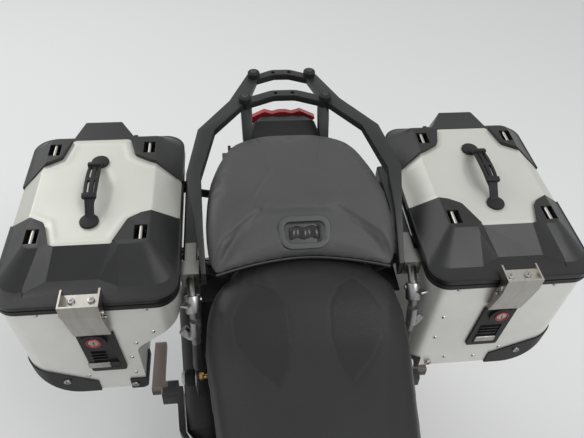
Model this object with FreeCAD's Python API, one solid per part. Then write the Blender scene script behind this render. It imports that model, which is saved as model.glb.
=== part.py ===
import FreeCAD, Part
import math
import os
from FreeCAD import Vector

os.makedirs("parts", exist_ok=True)

# An adventure motorcycle on its centre stand. X runs forward, Y to its left, Z up, all in millimetres.
# The origin is on the ground, on the centre plane, midway along the overall length.

# Fits and clearances
seat_gap = 0.3
axle_clearance = 0.05

# Wheels
front_axle_x = 825.0
front_axle_z = 325.0
front_tyre_radius = 325.0
front_tyre_width = 120.0
front_bead_radius = 242.0
front_bead_half = 39.0
rear_axle_x = -742.0
rear_axle_z = 330.0
rear_tyre_radius = 318.0
rear_tyre_width = 170.0
rear_bead_radius = 216.6
rear_bead_half = 57.0
tyre_facets = 60
spoke_count = 5
front_axle_radius = 12.5
rear_axle_radius = 14.0
front_hub_half = 56.0
front_disc_radius = 160.0
front_disc_thickness = 5.0
rear_disc_radius = 125.0

# Chain drive
chain_pitch = 15.875
rear_teeth = 48
front_teeth = 16
chain_side = 102.0
chain_width = 22.0
chain_height = 14.0
link_step = 2.5
plate_inside = 3.6
output_shaft = (-120.0, 380.0)

# Steering axis, from the ground point up and back
steering_ground_x = 927.5
rake = 24.5
fork_side = 105.0
fork_offset = 30.0
fork_upper_radius = 30.0
fork_lower_radius = 25.0
stem_radius = 17.0
head_low = 950.0
head_high = 1085.0
clamp_thickness = 26.0

# Frame, swingarm and stands
plate_inner = 122.0
plate_outer = 146.0
hanger_inner = 118.0
rear_mount = (-132.0, 492.0)
front_mount = (190.0, 541.0)
swingarm_pivot = (-205.0, 380.0)
pivot_tube_radius = 22.0
stand_pivot = (-330.0, 265.0)
stand_pin_radius = 9.0
stand_leg_inner = 136.5
side_stand_pivot = (-178.0, 153.0, 252.0)
side_tilt = (0.8660254, 0.5)

# Seats and rack
passenger_seat_bottom = 907.0
rack_top = 985.0
rack_bar_thickness = 14.0
knob_radius = 13.0
knob_height = 13.0

# Side cases: the same plan on both sides, measured outward from the centre plane
case_front = -518.0
case_rear = -926.0
case_inner = 218.0
case_outer = 508.0
case_bottom = 622.0
case_top = 905.0
case_wall = 3.0
case_corner = 34.0
case_keel = 80.0
rim_overhang = 5.0
rim_top = 917.0
rim_groove = 2.5
shoulder_rise = 4.0
recess_back = -612.0
recess_front = -560.0
recess_floor = 919.0
lid_crown = 955.0
plate_top = 948.0
lid_wall = 4.0
hinge = (-948.0, 903.0)
hinge_pin_radius = 2.2
hinge_ear_width = 8.0
drawn_inner = 218.0
drawn_width = 290.0
latch_side = 364.5
latch_width = 63.0
latch_foot = 833.0
latch_top = 937.0


def box(x, y, z):
    """Block between two limits on each axis."""
    return Part.makeBox(x[1] - x[0], y[1] - y[0], z[1] - z[0], Vector(x[0], y[0], z[0]))


def rod(start, end, radius):
    """Round bar from one centre point to another."""
    along = Vector(*end) - Vector(*start)
    return Part.makeCylinder(radius, along.Length, Vector(*start), along)


def across(x, z, radius, side_low, side_high):
    """Round bar across the machine."""
    return rod((x, side_low, z), (x, side_high, z), radius)


def arc_corner(before, corner, after, radius):
    """Start, middle and end of the arc that turns a corner, or the corner itself where there is none."""
    back = Vector(before - corner).normalize()
    ahead = Vector(after - corner).normalize()
    half = back.getAngle(ahead) / 2
    if radius <= 0 or half > math.radians(89.5):
        return corner, None, corner
    run = radius / math.tan(half)
    middle = corner + Vector(back + ahead).normalize() * (radius / math.sin(half) - radius)
    return corner + back * run, middle, corner + ahead * run


def rounded(points, radius):
    """Closed wire through the corners, each turned by an arc."""
    count = len(points)
    radii = radius if isinstance(radius, (list, tuple)) else [radius] * count
    turns = []
    for i in range(count):
        turns.append(arc_corner(points[i - 1], points[i], points[(i + 1) % count], radii[i]))
    edges = []
    for i, (start, middle, end) in enumerate(turns):
        if middle:
            edges.append(Part.Arc(start, middle, end).toShape())
        following = turns[(i + 1) % count][0]
        if (following - end).Length > 0.001:
            edges.append(Part.makeLine(end, following))
    return Part.Wire(edges)


def route(points, bend):
    """Open wire of straight runs joined by tangent arcs."""
    stops = [Vector(*p) for p in points]
    edges = []
    last = stops[0]
    for i in range(1, len(stops) - 1):
        start, middle, end = arc_corner(stops[i - 1], stops[i], stops[i + 1], bend)
        edges.append(Part.makeLine(last, start))
        if middle:
            edges.append(Part.Arc(start, middle, end).toShape())
        last = end
    edges.append(Part.makeLine(last, stops[-1]))
    return Part.Wire(edges)


def tube(points, radius, bend):
    """Round tube along a route."""
    way = route(points, bend)
    start = Vector(*points[0])
    profile = Part.Wire(Part.makeCircle(radius, start, Vector(*points[1]) - start))
    return way.makePipeShell([profile], True, True)


def on_plane(plane, u, v, w):
    """Point from two in-plane values and one along the normal."""
    return {"xz": Vector(u, w, v), "xy": Vector(u, v, w), "yz": Vector(w, u, v)}[plane]


def slab(plane, points, low, high, radius=0.0):
    """Outline in a plane, corners rounded, carried from low to high along the normal."""
    corners = [on_plane(plane, u, v, low) for u, v in points]
    face = Part.Face(rounded(corners, radius))
    return face.extrude(on_plane(plane, 0, 0, high - low))


def beam(sections):
    """Ruled beam through upright rectangles. Columns: x, side in, side out, bottom, top."""
    wires = []
    for x, near, far, low, high in sections:
        corners = [(near, low), (far, low), (far, high), (near, high)]
        wires.append(rounded([Vector(x, y, z) for y, z in corners], 0))
    return Part.makeLoft(wires, True, True)


def hull(sections, corner_low, corner_high):
    """Symmetric shell through upright sections. Columns: x, half width low, half width high, bottom, top."""
    wires = []
    for x, half_low, half_high, low, high in sections:
        corners = [(-half_low, low), (half_low, low), (half_high, high), (-half_high, high)]
        radii = [corner_low, corner_low, corner_high, corner_high]
        wires.append(rounded([Vector(x, y, z) for y, z in corners], radii))
    return Part.makeLoft(wires, True, True)


def spun(points, x, z, angle=360.0, start=0.0):
    """Outline of (radius, side) points spun about a line across the machine, from straight up and back."""
    lift = math.radians(start)
    corners = []
    for radius, side in points:
        corners.append(Vector(x - radius * math.sin(lift), side, z + radius * math.cos(lift)))
    face = Part.Face(rounded(corners, 0))
    return face.revolve(Vector(x, 0, z), Vector(0, -1, 0), angle)


def turned(shape, x, z, angle):
    """Copy turned about a line across the machine."""
    return shape.rotated(Vector(x, 0, z), Vector(0, 1, 0), angle)


def mirrored(shape):
    """Copy on the other side of the centre plane."""
    return shape.mirror(Vector(0, 0, 0), Vector(0, 1, 0))


def fused(shapes):
    """One solid of several."""
    whole = shapes[0].fuse(shapes[1:])
    return whole.removeSplitter()


def group(shapes):
    """Separate solids held as one node."""
    solids = []
    for shape in shapes:
        solids.extend(shape.Solids)
    return Part.Compound(solids)


def both(shape):
    """The shape and its mirror image."""
    return group([shape, mirrored(shape)])


def save(name, shape):
    group([shape]).exportStep("parts/" + name + ".step")


def steer(ahead, side, up):
    """Point from the steering axis: ahead of it, to the side, and up along it from the ground."""
    lean = math.radians(rake)
    x = steering_ground_x - up * math.sin(lean) + ahead * math.cos(lean)
    z = up * math.cos(lean) + ahead * math.sin(lean)
    return x, side, z


def side_axis(along):
    """Point on the side stand's pivot axis, which leans out of the level."""
    x, side, z = side_stand_pivot
    return x, side + along * side_tilt[0], z + along * side_tilt[1]


def steer_block(ahead, side, up, corner=0.0):
    """Block in the steering axes, its plan corners rounded."""
    plan = [(ahead[0], side[0]), (ahead[1], side[0]), (ahead[1], side[1]), (ahead[0], side[1])]
    corners = [Vector(*steer(a, y, up[0])) for a, y in plan]
    rise = Vector(*steer(0, 0, up[1])) - Vector(*steer(0, 0, up[0]))
    return Part.Face(rounded(corners, corner)).extrude(rise)


def steer_rod(ahead, side, up, radius):
    """Round bar along the steering axis."""
    return rod(steer(ahead, side, up[0]), steer(ahead, side, up[1]), radius)


# Tyres

def tyre(x, z, radius, width, bead_radius, bead_half):
    """Hollow tyre in even facets. Its beads are drawn out so that the facets stay clear of the rim."""
    half = width / 2
    side = [
        (radius, half * 0.38),
        (radius - 15, half * 0.8),
        (radius - 42, half),
        (bead_radius + 13, bead_half),
        (bead_radius, bead_half),
        (bead_radius, bead_half - 8),
        (radius - 25, half * 0.6),
    ]
    outline = side + [(r, -y) for r, y in reversed(side)]
    step = 2 * math.pi / tyre_facets
    rings = []
    for i in range(tyre_facets):
        ring = []
        for r, y in outline:
            reach = r / math.cos(step / 2) if r < radius - 30 else r
            ring.append(Vector(x + reach * math.sin(i * step), y, z + reach * math.cos(i * step)))
        rings.append(ring)
    faces = []
    for i in range(tyre_facets):
        near, far = rings[i - 1], rings[i]
        for j in range(len(outline)):
            faces.append(Part.Face(Part.makePolygon([near[j - 1], near[j], far[j], far[j - 1], near[j - 1]])))
    solid = Part.Solid(Part.makeShell(faces))
    return solid if solid.Volume > 0 else solid.reversed()


save("front_tyre", tyre(front_axle_x, front_axle_z, front_tyre_radius, front_tyre_width,
                        front_bead_radius, front_bead_half))
save("rear_tyre", tyre(rear_axle_x, rear_axle_z, rear_tyre_radius, rear_tyre_width,
                       rear_bead_radius, rear_bead_half))


# Cast rims with forked spokes

def rim(x, z, bead_radius, bead_half, hub_radius, hub_low, hub_high, bore):
    """Barrel, hub and forked spokes in one casting."""
    seat = bead_radius - seat_gap
    face = bead_half + seat_gap
    side = [
        (seat - 18, bead_half - 20),
        (seat, bead_half - 11),
        (seat, face),
        (seat + 11, face),
        (seat + 11, face + 5),
        (seat - 8, face + 5),
        (seat - 26, bead_half - 20),
    ]
    barrel_points = [(r, y) for r, y in side] + [(r, -y) for r, y in reversed(side)]
    barrel = spun(barrel_points, x, z)
    reach = seat - 21
    fork = reach * 0.52
    arm = [(hub_radius - 6, -14), (fork, -12), (reach - 2, -44), (reach + 1, -28), (fork + 22, 0),
           (reach + 1, 28), (reach - 2, 44), (fork, 12), (hub_radius - 6, 14)]
    spoke = slab("xz", [(x + v, z + u) for u, v in arm], -13, 13)
    pieces = [barrel, across(x, z, hub_radius, hub_low, hub_high)]
    for i in range(spoke_count):
        pieces.append(turned(spoke, x, z, i * 360.0 / spoke_count))
    return fused(pieces).cut(across(x, z, bore, hub_low - 1, hub_high + 1))


save("front_rim", rim(front_axle_x, front_axle_z, front_bead_radius, front_bead_half, 32.0,
                      -front_hub_half, front_hub_half, front_axle_radius + axle_clearance))
rear_hub_low = -86.0
rear_hub_high = 94.0
save("rear_rim", rim(rear_axle_x, rear_axle_z, rear_bead_radius, rear_bead_half, 44.0,
                     rear_hub_low, rear_hub_high, rear_axle_radius + axle_clearance))


# Brake discs on spider carriers

def disc(x, z, radius, inner, carrier_side, disc_side, thickness, hub_radius):
    """Carrier with five arms against the hub end, and the ring it holds."""
    out = 1 if disc_side > carrier_side else -1
    low, high = sorted((carrier_side, disc_side))
    web = across(x, z, hub_radius, low, high)
    arm = slab("xz", [(x - 9, z), (x + 9, z), (x + 7, z + inner + 6), (x - 7, z + inner + 6)], low, high)
    arms = [turned(arm, x, z, 36 + i * 72.0) for i in range(5)]
    low, high = sorted((disc_side, disc_side + out * thickness))
    ring = across(x, z, radius, low, high).cut(across(x, z, inner, low - 1, high + 1))
    bore = across(x, z, hub_radius - 12, -200, 200)
    return fused([web] + arms + [ring]).cut(bore)


disc_side = front_hub_half + 8
save("front_discs", both(disc(front_axle_x, front_axle_z, front_disc_radius, 108.0, front_hub_half, disc_side,
                              front_disc_thickness, 32.0)))
rear_disc_side = rear_hub_low - 6
save("rear_disc", disc(rear_axle_x, rear_axle_z, rear_disc_radius, 84.0, rear_hub_low, rear_disc_side, 5.0, 44.0))


# Sprockets and chain

def sprocket_radius(teeth):
    return chain_pitch / 2 / math.sin(math.pi / teeth)


def sprocket(x, z, teeth, side_low, side_high):
    """Toothed disc: each tooth a short flat-topped wedge between two rollers."""
    pitch_radius = sprocket_radius(teeth)
    root = pitch_radius - 5.0
    tip = pitch_radius + 3.0
    points = []
    for i in range(teeth):
        for part, radius in ((-0.36, root), (-0.14, tip), (0.14, tip), (0.36, root)):
            angle = (i + 0.5 + part) * 2 * math.pi / teeth
            points.append((x + radius * math.sin(angle), z + radius * math.cos(angle)))
    return slab("xz", points, side_low, side_high)


sprocket_half = 3.0
wheel_sprocket = sprocket(rear_axle_x, rear_axle_z, rear_teeth, chain_side - sprocket_half, chain_side + sprocket_half)
carrier = across(rear_axle_x, rear_axle_z, 62.0, rear_hub_high, chain_side - sprocket_half)
wheel_sprocket = wheel_sprocket.fuse(carrier)
for i in range(5):
    window = slab("xz", [(rear_axle_x - 16, rear_axle_z + 74), (rear_axle_x + 16, rear_axle_z + 74),
                         (rear_axle_x + 26, rear_axle_z + 100), (rear_axle_x - 26, rear_axle_z + 100)],
                  chain_side - 10, chain_side + 10, 6)
    wheel_sprocket = wheel_sprocket.cut(turned(window, rear_axle_x, rear_axle_z, i * 72.0))
wheel_sprocket = wheel_sprocket.cut(across(rear_axle_x, rear_axle_z, 40.0, 0, 200))
save("rear_sprocket", wheel_sprocket)


def chain_points():
    """Pin centres of the closed loop: two straight runs and an arc round each sprocket."""
    fx, fz = output_shaft
    rx, rz = rear_axle_x, rear_axle_z
    small = sprocket_radius(front_teeth)
    large = sprocket_radius(rear_teeth)
    span = math.hypot(rx - fx, rz - fz)
    slope = math.atan2(rz - fz, rx - fx)
    flare = math.asin((large - small) / span)
    pieces = []
    for sign in (1, -1):
        normal = slope - sign * (math.pi / 2 + flare)
        start = (fx + small * math.cos(normal), fz + small * math.sin(normal))
        end = (rx + large * math.cos(normal), rz + large * math.sin(normal))
        pieces.append((normal, start, end))
    (top_normal, top_start, top_end), (low_normal, low_start, low_end) = pieces
    straight = math.hypot(top_end[0] - top_start[0], top_end[1] - top_start[1])
    large_turn = math.pi + 2 * flare
    small_turn = math.pi - 2 * flare
    total = 2 * straight + large * large_turn + small * small_turn
    count = 2 * round(total / chain_pitch / 2)
    points = []
    for i in range(count):
        run = total * i / count
        if run < straight:
            part = run / straight
            points.append((top_start[0] + part * (top_end[0] - top_start[0]),
                           top_start[1] + part * (top_end[1] - top_start[1])))
            continue
        run -= straight
        if run < large * large_turn:
            angle = top_normal + run / large
            points.append((rx + large * math.cos(angle), rz + large * math.sin(angle)))
            continue
        run -= large * large_turn
        if run < straight:
            part = run / straight
            points.append((low_end[0] + part * (low_start[0] - low_end[0]),
                           low_end[1] + part * (low_start[1] - low_end[1])))
            continue
        run -= straight
        angle = low_normal + run / small
        points.append((fx + small * math.cos(angle), fz + small * math.sin(angle)))
    return points


def chain():
    """Closed loop of links, wide and narrow in turn, each split into two plates where it wraps a sprocket."""
    pins = chain_points()
    count = len(pins)
    directions = []
    for i in range(count):
        ax, az = pins[i]
        bx, bz = pins[(i + 1) % count]
        directions.append(math.atan2(bz - az, bx - ax))
    wraps = [(output_shaft, sprocket_radius(front_teeth)), ((rear_axle_x, rear_axle_z), sprocket_radius(rear_teeth))]
    links = []
    for i in range(count):
        ax, az = pins[i]
        bx, bz = pins[(i + 1) % count]
        length = math.hypot(bx - ax, bz - az)
        ux, uz = (bx - ax) / length, (bz - az) / length
        half = chain_height / 2
        trims = []
        for other in (directions[i - 1], directions[(i + 1) % count]):
            turn = abs((directions[i] - other + math.pi) % (2 * math.pi) - math.pi)
            trims.append(half * math.tan(turn / 2) + 0.15)
        corners = []
        for run, rise in ((trims[0], -half), (length - trims[1], -half), (length - trims[1], half), (trims[0], half)):
            corners.append((ax + ux * run - uz * rise, az + uz * run + ux * rise))
        width = chain_width / 2 if i % 2 else chain_width / 2 - link_step
        near = [math.hypot(ax - x, az - z) < radius + chain_height + chain_pitch for (x, z), radius in wraps]
        if any(near):
            links.append(slab("xz", corners, chain_side - width, chain_side - plate_inside))
            links.append(slab("xz", corners, chain_side + plate_inside, chain_side + width))
        else:
            links.append(slab("xz", corners, chain_side - width, chain_side + width))
    return links



# Fork legs with axle clamps, front axle, clamps with the stem

axle_up = 338.2
axle_ahead = 41.5
leg_top = 1128.0
leg_foot = 300.0
slider_top = 640.0
guide_foot = 560.0
clamp_low = head_low - clamp_thickness - 4
clamp_high = head_high + 4
clamp_sweep = 153.0


def fork_leg():
    """Slider below, thicker guide tube above, and the lug that grips the axle."""
    slider = steer_rod(fork_offset, fork_side, (leg_foot + 20, slider_top), fork_lower_radius)
    guide = steer_rod(fork_offset, fork_side, (guide_foot, leg_top), fork_upper_radius)
    cap = steer_rod(fork_offset, fork_side, (leg_top, leg_top + 9), fork_upper_radius - 10)
    lug = steer_block((fork_offset - 24, axle_ahead + 26), (fork_side - 22, fork_side + 22), (leg_foot, axle_up + 34), 9)
    eye = across(front_axle_x, front_axle_z, front_axle_radius + seat_gap, 0, 200)
    return fused([slider, guide, cap, lug]).cut(eye)


save("fork_legs", both(fork_leg()))

axle_end = fork_side + 34.0
spacer = front_hub_half + seat_gap
axle = across(front_axle_x, front_axle_z, front_axle_radius, -axle_end, axle_end)
for sign in (1, -1):
    ends = sorted((sign * spacer, sign * (fork_side - fork_lower_radius - seat_gap)))
    axle = axle.fuse(across(front_axle_x, front_axle_z, 17.0, ends[0], ends[1]))
    nut = sorted((sign * (fork_side + fork_lower_radius + seat_gap), sign * axle_end))
    axle = axle.fuse(across(front_axle_x, front_axle_z, 16.0, nut[0], nut[1]))
save("front_axle", axle)


def clamp(low, high, reach):
    """Cast bridge between the legs, waisted toward the stem, bored for both legs."""
    outline = [(-24, 0), (-24, 46), (fork_offset - 34, fork_side + 38), (fork_offset + 30, fork_side + 38),
               (fork_offset + reach, 30), (fork_offset + reach, -30), (fork_offset + 30, -fork_side - 38),
               (fork_offset - 34, -fork_side - 38), (-24, -46)]
    corners = [Vector(*steer(a, y, low)) for a, y in outline]
    rise = Vector(*steer(0, 0, high)) - Vector(*steer(0, 0, low))
    body = Part.Face(rounded(corners, [0, 14, 22, 22, 10, 10, 22, 22, 14])).extrude(rise)
    for side in (fork_side, -fork_side):
        body = body.cut(steer_rod(fork_offset, side, (low - 5, high + 5), fork_upper_radius + seat_gap))
    return body


bar_radius = 14.0
bar_up = 1202.0
bar_ahead = 36.0
stem = steer_rod(0, 0, (clamp_low + 2, clamp_high + clamp_thickness + 10), stem_radius)
stem_nut = steer_rod(0, 0, (clamp_high + clamp_thickness, clamp_high + clamp_thickness + 12), 20.0)
risers = []
for side in (44.0, -44.0):
    riser = steer_block((bar_ahead - 19, bar_ahead + 19), (side - 16, side + 16),
                        (clamp_high + clamp_thickness, bar_up + 20), 8)
    risers.append(riser)
clamps = fused([clamp(clamp_low, clamp_low + clamp_thickness, 22), clamp(clamp_high, clamp_high + clamp_thickness, 14),
                stem, stem_nut] + risers)
clamps = clamps.cut(rod(steer(bar_ahead, -80, bar_up), steer(bar_ahead, 80, bar_up), bar_radius - 2 + seat_gap))
save("fork_clamps", clamps)

# Handlebar, grips with levers, hand guards, mirrors

grip_out = Vector(362.0, 418.0, 1152.0)
bar_mid = steer(bar_ahead, 86.0, bar_up)
bar_half = [bar_mid, (446.0, 205.0, 1172.0), tuple(grip_out)]
bar_points = [(x, -y, z) for x, y, z in reversed(bar_half)] + bar_half
save("handlebar", tube(bar_points, bar_radius - 2, 70.0))

along_grip = Vector(grip_out - Vector(446.0, 205.0, 1172.0)).normalize()
grip_length = 122.0
grip_end = grip_out + along_grip * 4
grip_start = grip_end - along_grip * grip_length


def shifted(point, along, ahead=0.0, up=0.0):
    """Point moved along the grip, forward and up."""
    moved = point + along_grip * along
    return (moved.x + ahead, moved.y, moved.z + up)


grip = rod(grip_start, grip_end, 17.0)
collar = rod(shifted(grip_start, -3), grip_start, 21.0)
bore = rod(shifted(grip_start, -10), shifted(grip_end, -4 + seat_gap), bar_radius - 2 + seat_gap)
save("grips", both(fused([grip, collar]).cut(bore)))

switch_block = rod(shifted(grip_start, -44), shifted(grip_start, -3 - seat_gap), 22.0)
master = rod(shifted(grip_start, -62, 10, 8), shifted(grip_start, -104, 44, 10), 13.0)
perch = rod(shifted(grip_start, -74), shifted(grip_start, -50), 20.0)
pot = rod(shifted(grip_start, -88, 26, 12), shifted(grip_start, -88, 26, 52), 19.0)
lever_points = [shifted(grip_start, -56, 28, 2), shifted(grip_start, -14, 62, 0), shifted(grip_end, -4, 66, -2)]
lever = tube(lever_points, 6.0, 30.0)
controls = fused([switch_block, perch, master, pot, lever])
bar_bore = tube(bar_points, bar_radius - 2 + seat_gap, 70.0)
save("hand_controls", both(controls.cut(bar_bore)))


def hand_guard():
    """Curved shield ahead of the grip on a bar end and an inner stay."""
    plan = [(390, 462), (452, 436), (494, 380), (506, 300), (500, 262), (492, 262), (497, 300),
            (485, 376), (447, 427), (388, 453)]
    shield = slab("xy", plan, 1118, 1196, [0, 20, 40, 30, 0, 0, 30, 40, 20, 0])
    side = [(388, 1120), (520, 1104), (520, 1190), (470, 1206), (388, 1168)]
    shield = shield.common(slab("xz", side, 200, 500, [10, 24, 30, 30, 10]))
    end = shifted(grip_end, 2)
    outer = tube([end, shifted(grip_end, 26), (392.0, 457.0, 1146.0)], 8.0, 10.0)
    inner = tube([(497.0, 290.0, 1136.0), (482.0, 214.0, 1126.0), (450.0, 172.0, 1150.0)], 6.0, 20.0)
    eye = rod((450.0, 160.0, 1160.0), (450.0, 180.0, 1164.0), 18.0)
    return fused([shield, outer, inner, eye]).cut(bar_bore)


save("hand_guards", both(hand_guard()))


def mirror():
    """Stalk from the perch and a rounded five-sided head."""
    foot = shifted(grip_start, -62, 0, 19)
    stalk = tube([foot, (foot[0] + 4, foot[1] + 8, 1240.0), (388.0, 322.0, 1292.0)], 5.0, 24.0)
    outline = [(258, 1268), (268, 1330), (318, 1346), (400, 1334), (412, 1290), (380, 1256)]
    head = slab("yz", outline, 366, 390, 16)
    head = head.makeFillet(7.0, [e for e in head.Edges if abs(e.BoundBox.XMin - e.BoundBox.XMax) < 0.1
                                 and e.BoundBox.XMax > 389])
    return fused([stalk, head])


save("mirrors", both(mirror().cut(rod(shifted(grip_start, -80), shifted(grip_start, -40), 20.0 + seat_gap))))

# Front mudguard and calipers

guard_inner = 340.0
guard_wall = 4.0
guard_side = [(guard_inner, 0), (guard_inner - 3, 40), (guard_inner - 22, 66), (guard_inner - 22 + 2, 70),
              (guard_inner + guard_wall - 2, 44), (guard_inner + guard_wall, 0)]
guard_half = spun(guard_side, front_axle_x, front_axle_z, 118.0, -38.0)
stay = slab("xz", [(front_axle_x - 60, front_axle_z + 60), (front_axle_x - 28, front_axle_z + 60),
                   (front_axle_x - 90, front_axle_z + 322), (front_axle_x - 190, front_axle_z + 270)], 68.0, 76.0, 8)
mudguard = fused([guard_half, mirrored(guard_half), stay, mirrored(stay)])
leg_room = steer_rod(fork_offset, fork_side, (300, 1100), fork_upper_radius + seat_gap)
disc_room = across(front_axle_x, front_axle_z, front_disc_radius + 8, 0, 100)
mudguard = mudguard.cut(group([leg_room, mirrored(leg_room), disc_room, mirrored(disc_room)]))
save("front_mudguard", group([max(mudguard.Solids, key=lambda solid: solid.Volume)]))


carrier_room = 12.0


def caliper(x, z, radius, depth, angle, disc_low, disc_high, low, high):
    """Four-piston body that straddles the disc edge, with a slot for the disc and pads."""
    body = slab("xz", [(x - 62, z + radius - depth), (x + 62, z + radius - depth), (x + 70, z + radius - 10),
                       (x + 44, z + radius + 26), (x - 44, z + radius + 26), (x - 70, z + radius - 10)],
                low, high, 10)
    slot = across(x, z, radius + 5, disc_low - carrier_room, disc_high + 5)
    body = body.cut(slot)
    for side, depth in ((low - 4, 4.0), (high, 4.0)):
        for run in (-28, 28):
            body = body.fuse(across(x + run, z + radius - 18, 17.0, side, side + depth))
    return turned(body, x, z, angle)


leg_side_in = fork_side - fork_lower_radius
front_caliper = caliper(front_axle_x, front_axle_z, front_disc_radius, 46.0, -78.0, disc_side,
                        disc_side + front_disc_thickness, disc_side - 20, fork_side - 10)
bracket = slab("xz", [(front_axle_x - 40, front_axle_z + 48), (front_axle_x - 8, front_axle_z + 52),
                      (front_axle_x - 60, front_axle_z + 130), (front_axle_x - 150, front_axle_z + 70),
                      (front_axle_x - 146, front_axle_z + 10)], fork_side - 20, fork_side - 4, 8)
slider_room = steer_rod(fork_offset, fork_side, (300, guide_foot), fork_lower_radius + seat_gap)
front_caliper = front_caliper.fuse(bracket).cut(slider_room).cut(fork_leg())
front_caliper = max(front_caliper.Solids, key=lambda solid: solid.Volume)
save("front_calipers", both(front_caliper))


# Main frame: head tube, two spars and the pivot plates

head = rod(steer(0, 0, head_low), steer(0, 0, head_high), 33.0)
spar = beam([
    (512, 6, 42, 872, 950),
    (440, 10, 42, 858, 936),
    (350, 56, 86, 822, 902),
    (200, 110, 140, 748, 815),
    (40, plate_inner, plate_outer, 688, 762),
    (-112, plate_inner, plate_outer, 640, 728),
])
pivot_plate = slab("xz", [(-92, 728), (-92, 640), (-112, 540), (-112, 476), (-152, 400), (-152, 330), (-176, 300),
                          (-246, 300), (-262, 350), (-236, 520), (-178, 650), (-150, 728)], plate_inner, plate_outer,
                   [8, 30, 20, 16, 20, 16, 20, 24, 30, 60, 40, 8])
stand_lug = slab("xz", [(-200, 320), (-250, 340), (-352, 288), (-352, 242), (-308, 242), (-250, 290), (-200, 296)],
                 plate_inner, plate_inner + 12, [0, 0, 20, 20, 20, 20, 0])
stand_lug = stand_lug.cut(across(stand_pivot[0], stand_pivot[1], stand_pin_radius + axle_clearance, 0, 200))
side_lug = slab("xz", [(-236, 304), (-176, 304), (-154, 262), (-160, 234), (-196, 234)], plate_inner, plate_outer,
                [0, 0, 16, 16, 16])
side_lug = side_lug.fuse(rod(side_axis(-30), side_axis(-seat_gap), 16.0))
side_lug = side_lug.cut(rod(side_axis(-seat_gap), side_axis(30), 19.0))
hanger = slab("xz", [(150, 754), (235, 746), (208, 522), (172, 522)], hanger_inner, hanger_inner + 16, [4, 4, 16, 16])
pivot_bore = across(swingarm_pivot[0], swingarm_pivot[1], pivot_tube_radius + seat_gap, -200, 200)
stem_bore = rod(steer(0, 0, head_low - 5), steer(0, 0, head_high + 5), stem_radius + axle_clearance)
frame_sides = group([both(spar), both(pivot_plate), both(hanger), both(stand_lug), side_lug]).Solids
main_frame = fused([head] + frame_sides)
main_frame = main_frame.cut(stem_bore).cut(pivot_bore)
save("main_frame", main_frame)

# Engine: crankcase, V banks with heads, side covers, sump

crank_x = 95.0
crank_z = 385.0
front_lean = 50.0
rear_lean = -34.0
case_half = 105.0
gearbox_left = 84.0
crankcase = slab("xz", [(-146, 300), (-60, 262), (200, 262), (262, 320), (262, 430), (176, 520), (-60, 540),
                        (-146, 500)], -case_half, case_half, [24, 30, 30, 40, 40, 50, 30, 24])
sump = slab("xz", [(-50, 262), (-20, 228), (170, 228), (190, 262)], -76, 76, [0, 14, 14, 0])


def bank_point(across_bank, along_bank, angle):
    """Point in a leaning bank: across it and out from the crankshaft."""
    lean = math.radians(angle)
    x = crank_x + across_bank * math.cos(lean) + along_bank * math.sin(lean)
    z = crank_z - across_bank * math.sin(lean) + along_bank * math.cos(lean)
    return x, z


def bank(angle, foot, top, half):
    """Cylinder block leaning from the crankshaft, with cooling flutes along its sides."""
    barrels = box((crank_x - 70, crank_x + 70), (-half, half), (crank_z + foot, crank_z + top))
    for i in range(4):
        low = crank_z + foot + 34 + i * 20
        for side in (-half, half):
            barrels = barrels.cut(box((crank_x - 58, crank_x + 58), (side - 4, side + 4), (low, low + 9)))
    return turned(barrels, crank_x, crank_z, angle)


def head_cover(angle, foot, top, half):
    """Head and cam cover of one bank, narrowing to the top."""
    outline = [(crank_x - 76, crank_z + foot), (crank_x + 76, crank_z + foot), (crank_x + 76, crank_z + foot + 40),
               (crank_x + 52, crank_z + top), (crank_x - 52, crank_z + top), (crank_x - 76, crank_z + foot + 40)]
    cover = slab("xz", outline, -half, half, [0, 0, 12, 16, 16, 12])
    return turned(cover, crank_x, crank_z, angle)


block_top = 218.0
head_top = 318.0
front_bank = bank(front_lean, 60, block_top, 96.0)
rear_bank = bank(rear_lean, 60, block_top, 96.0)
rear_boss = across(rear_mount[0], rear_mount[1], 13.0, -plate_inner + seat_gap, plate_inner - seat_gap)
front_boss = across(front_mount[0], front_mount[1], 14.0, -hanger_inner + seat_gap, hanger_inner - seat_gap)
sprocket_room = box((-200, -62), (gearbox_left, 200), (200, 470))
engine = fused([crankcase.cut(sprocket_room), sump, front_bank, rear_bank, rear_boss, front_boss])
save("engine", engine)
heads = [head_cover(front_lean, block_top, head_top - 12, 102.0), head_cover(rear_lean, block_top, head_top, 102.0)]


def side_cover(x, z, radius, side_low, side_high, boss):
    """Round cover with a stepped rim and a raised boss."""
    rim_depth = (side_high - side_low) * 0.45
    rim_plate = across(x, z, radius, side_low, side_low + rim_depth)
    dome = across(x, z, radius - 14, side_low + rim_depth, side_high)
    centre = across(x, z, boss, side_high, side_high + 5)
    return [rim_plate, dome, centre]


clutch = side_cover(20.0, 400.0, 92.0, case_half, case_half + 42, 34.0)
generator = side_cover(crank_x, crank_z, 82.0, case_half, case_half + 46, 26.0)
pump = side_cover(168.0, 330.0, 44.0, case_half, case_half + 30, 12.0)
clutch_side = [mirrored(piece) for piece in clutch + pump]
cover_stand = 11.0
cover_side = case_half + cover_stand
sprocket_cover = slab("xz", [(-14, 470), (-14, 330), (-80, 316), (-134, 332), (-134, 448), (-100, 470)],
                      cover_side, cover_side + 5, [10, 30, 20, 20, 20, 10])
cover_leg = box((-60, -14), (case_half, cover_side), (345, 455))
covers_right = fused(clutch_side)
covers_left = fused(generator)
cover_frame = fused([sprocket_cover, cover_leg]).cut(across(crank_x, crank_z, 82.0 + seat_gap, 0, 200))
save("engine_covers", group([covers_right, covers_left, cover_frame] + [piece.cut(engine) for piece in heads]))

# Front sprocket on the gearbox shaft

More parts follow.
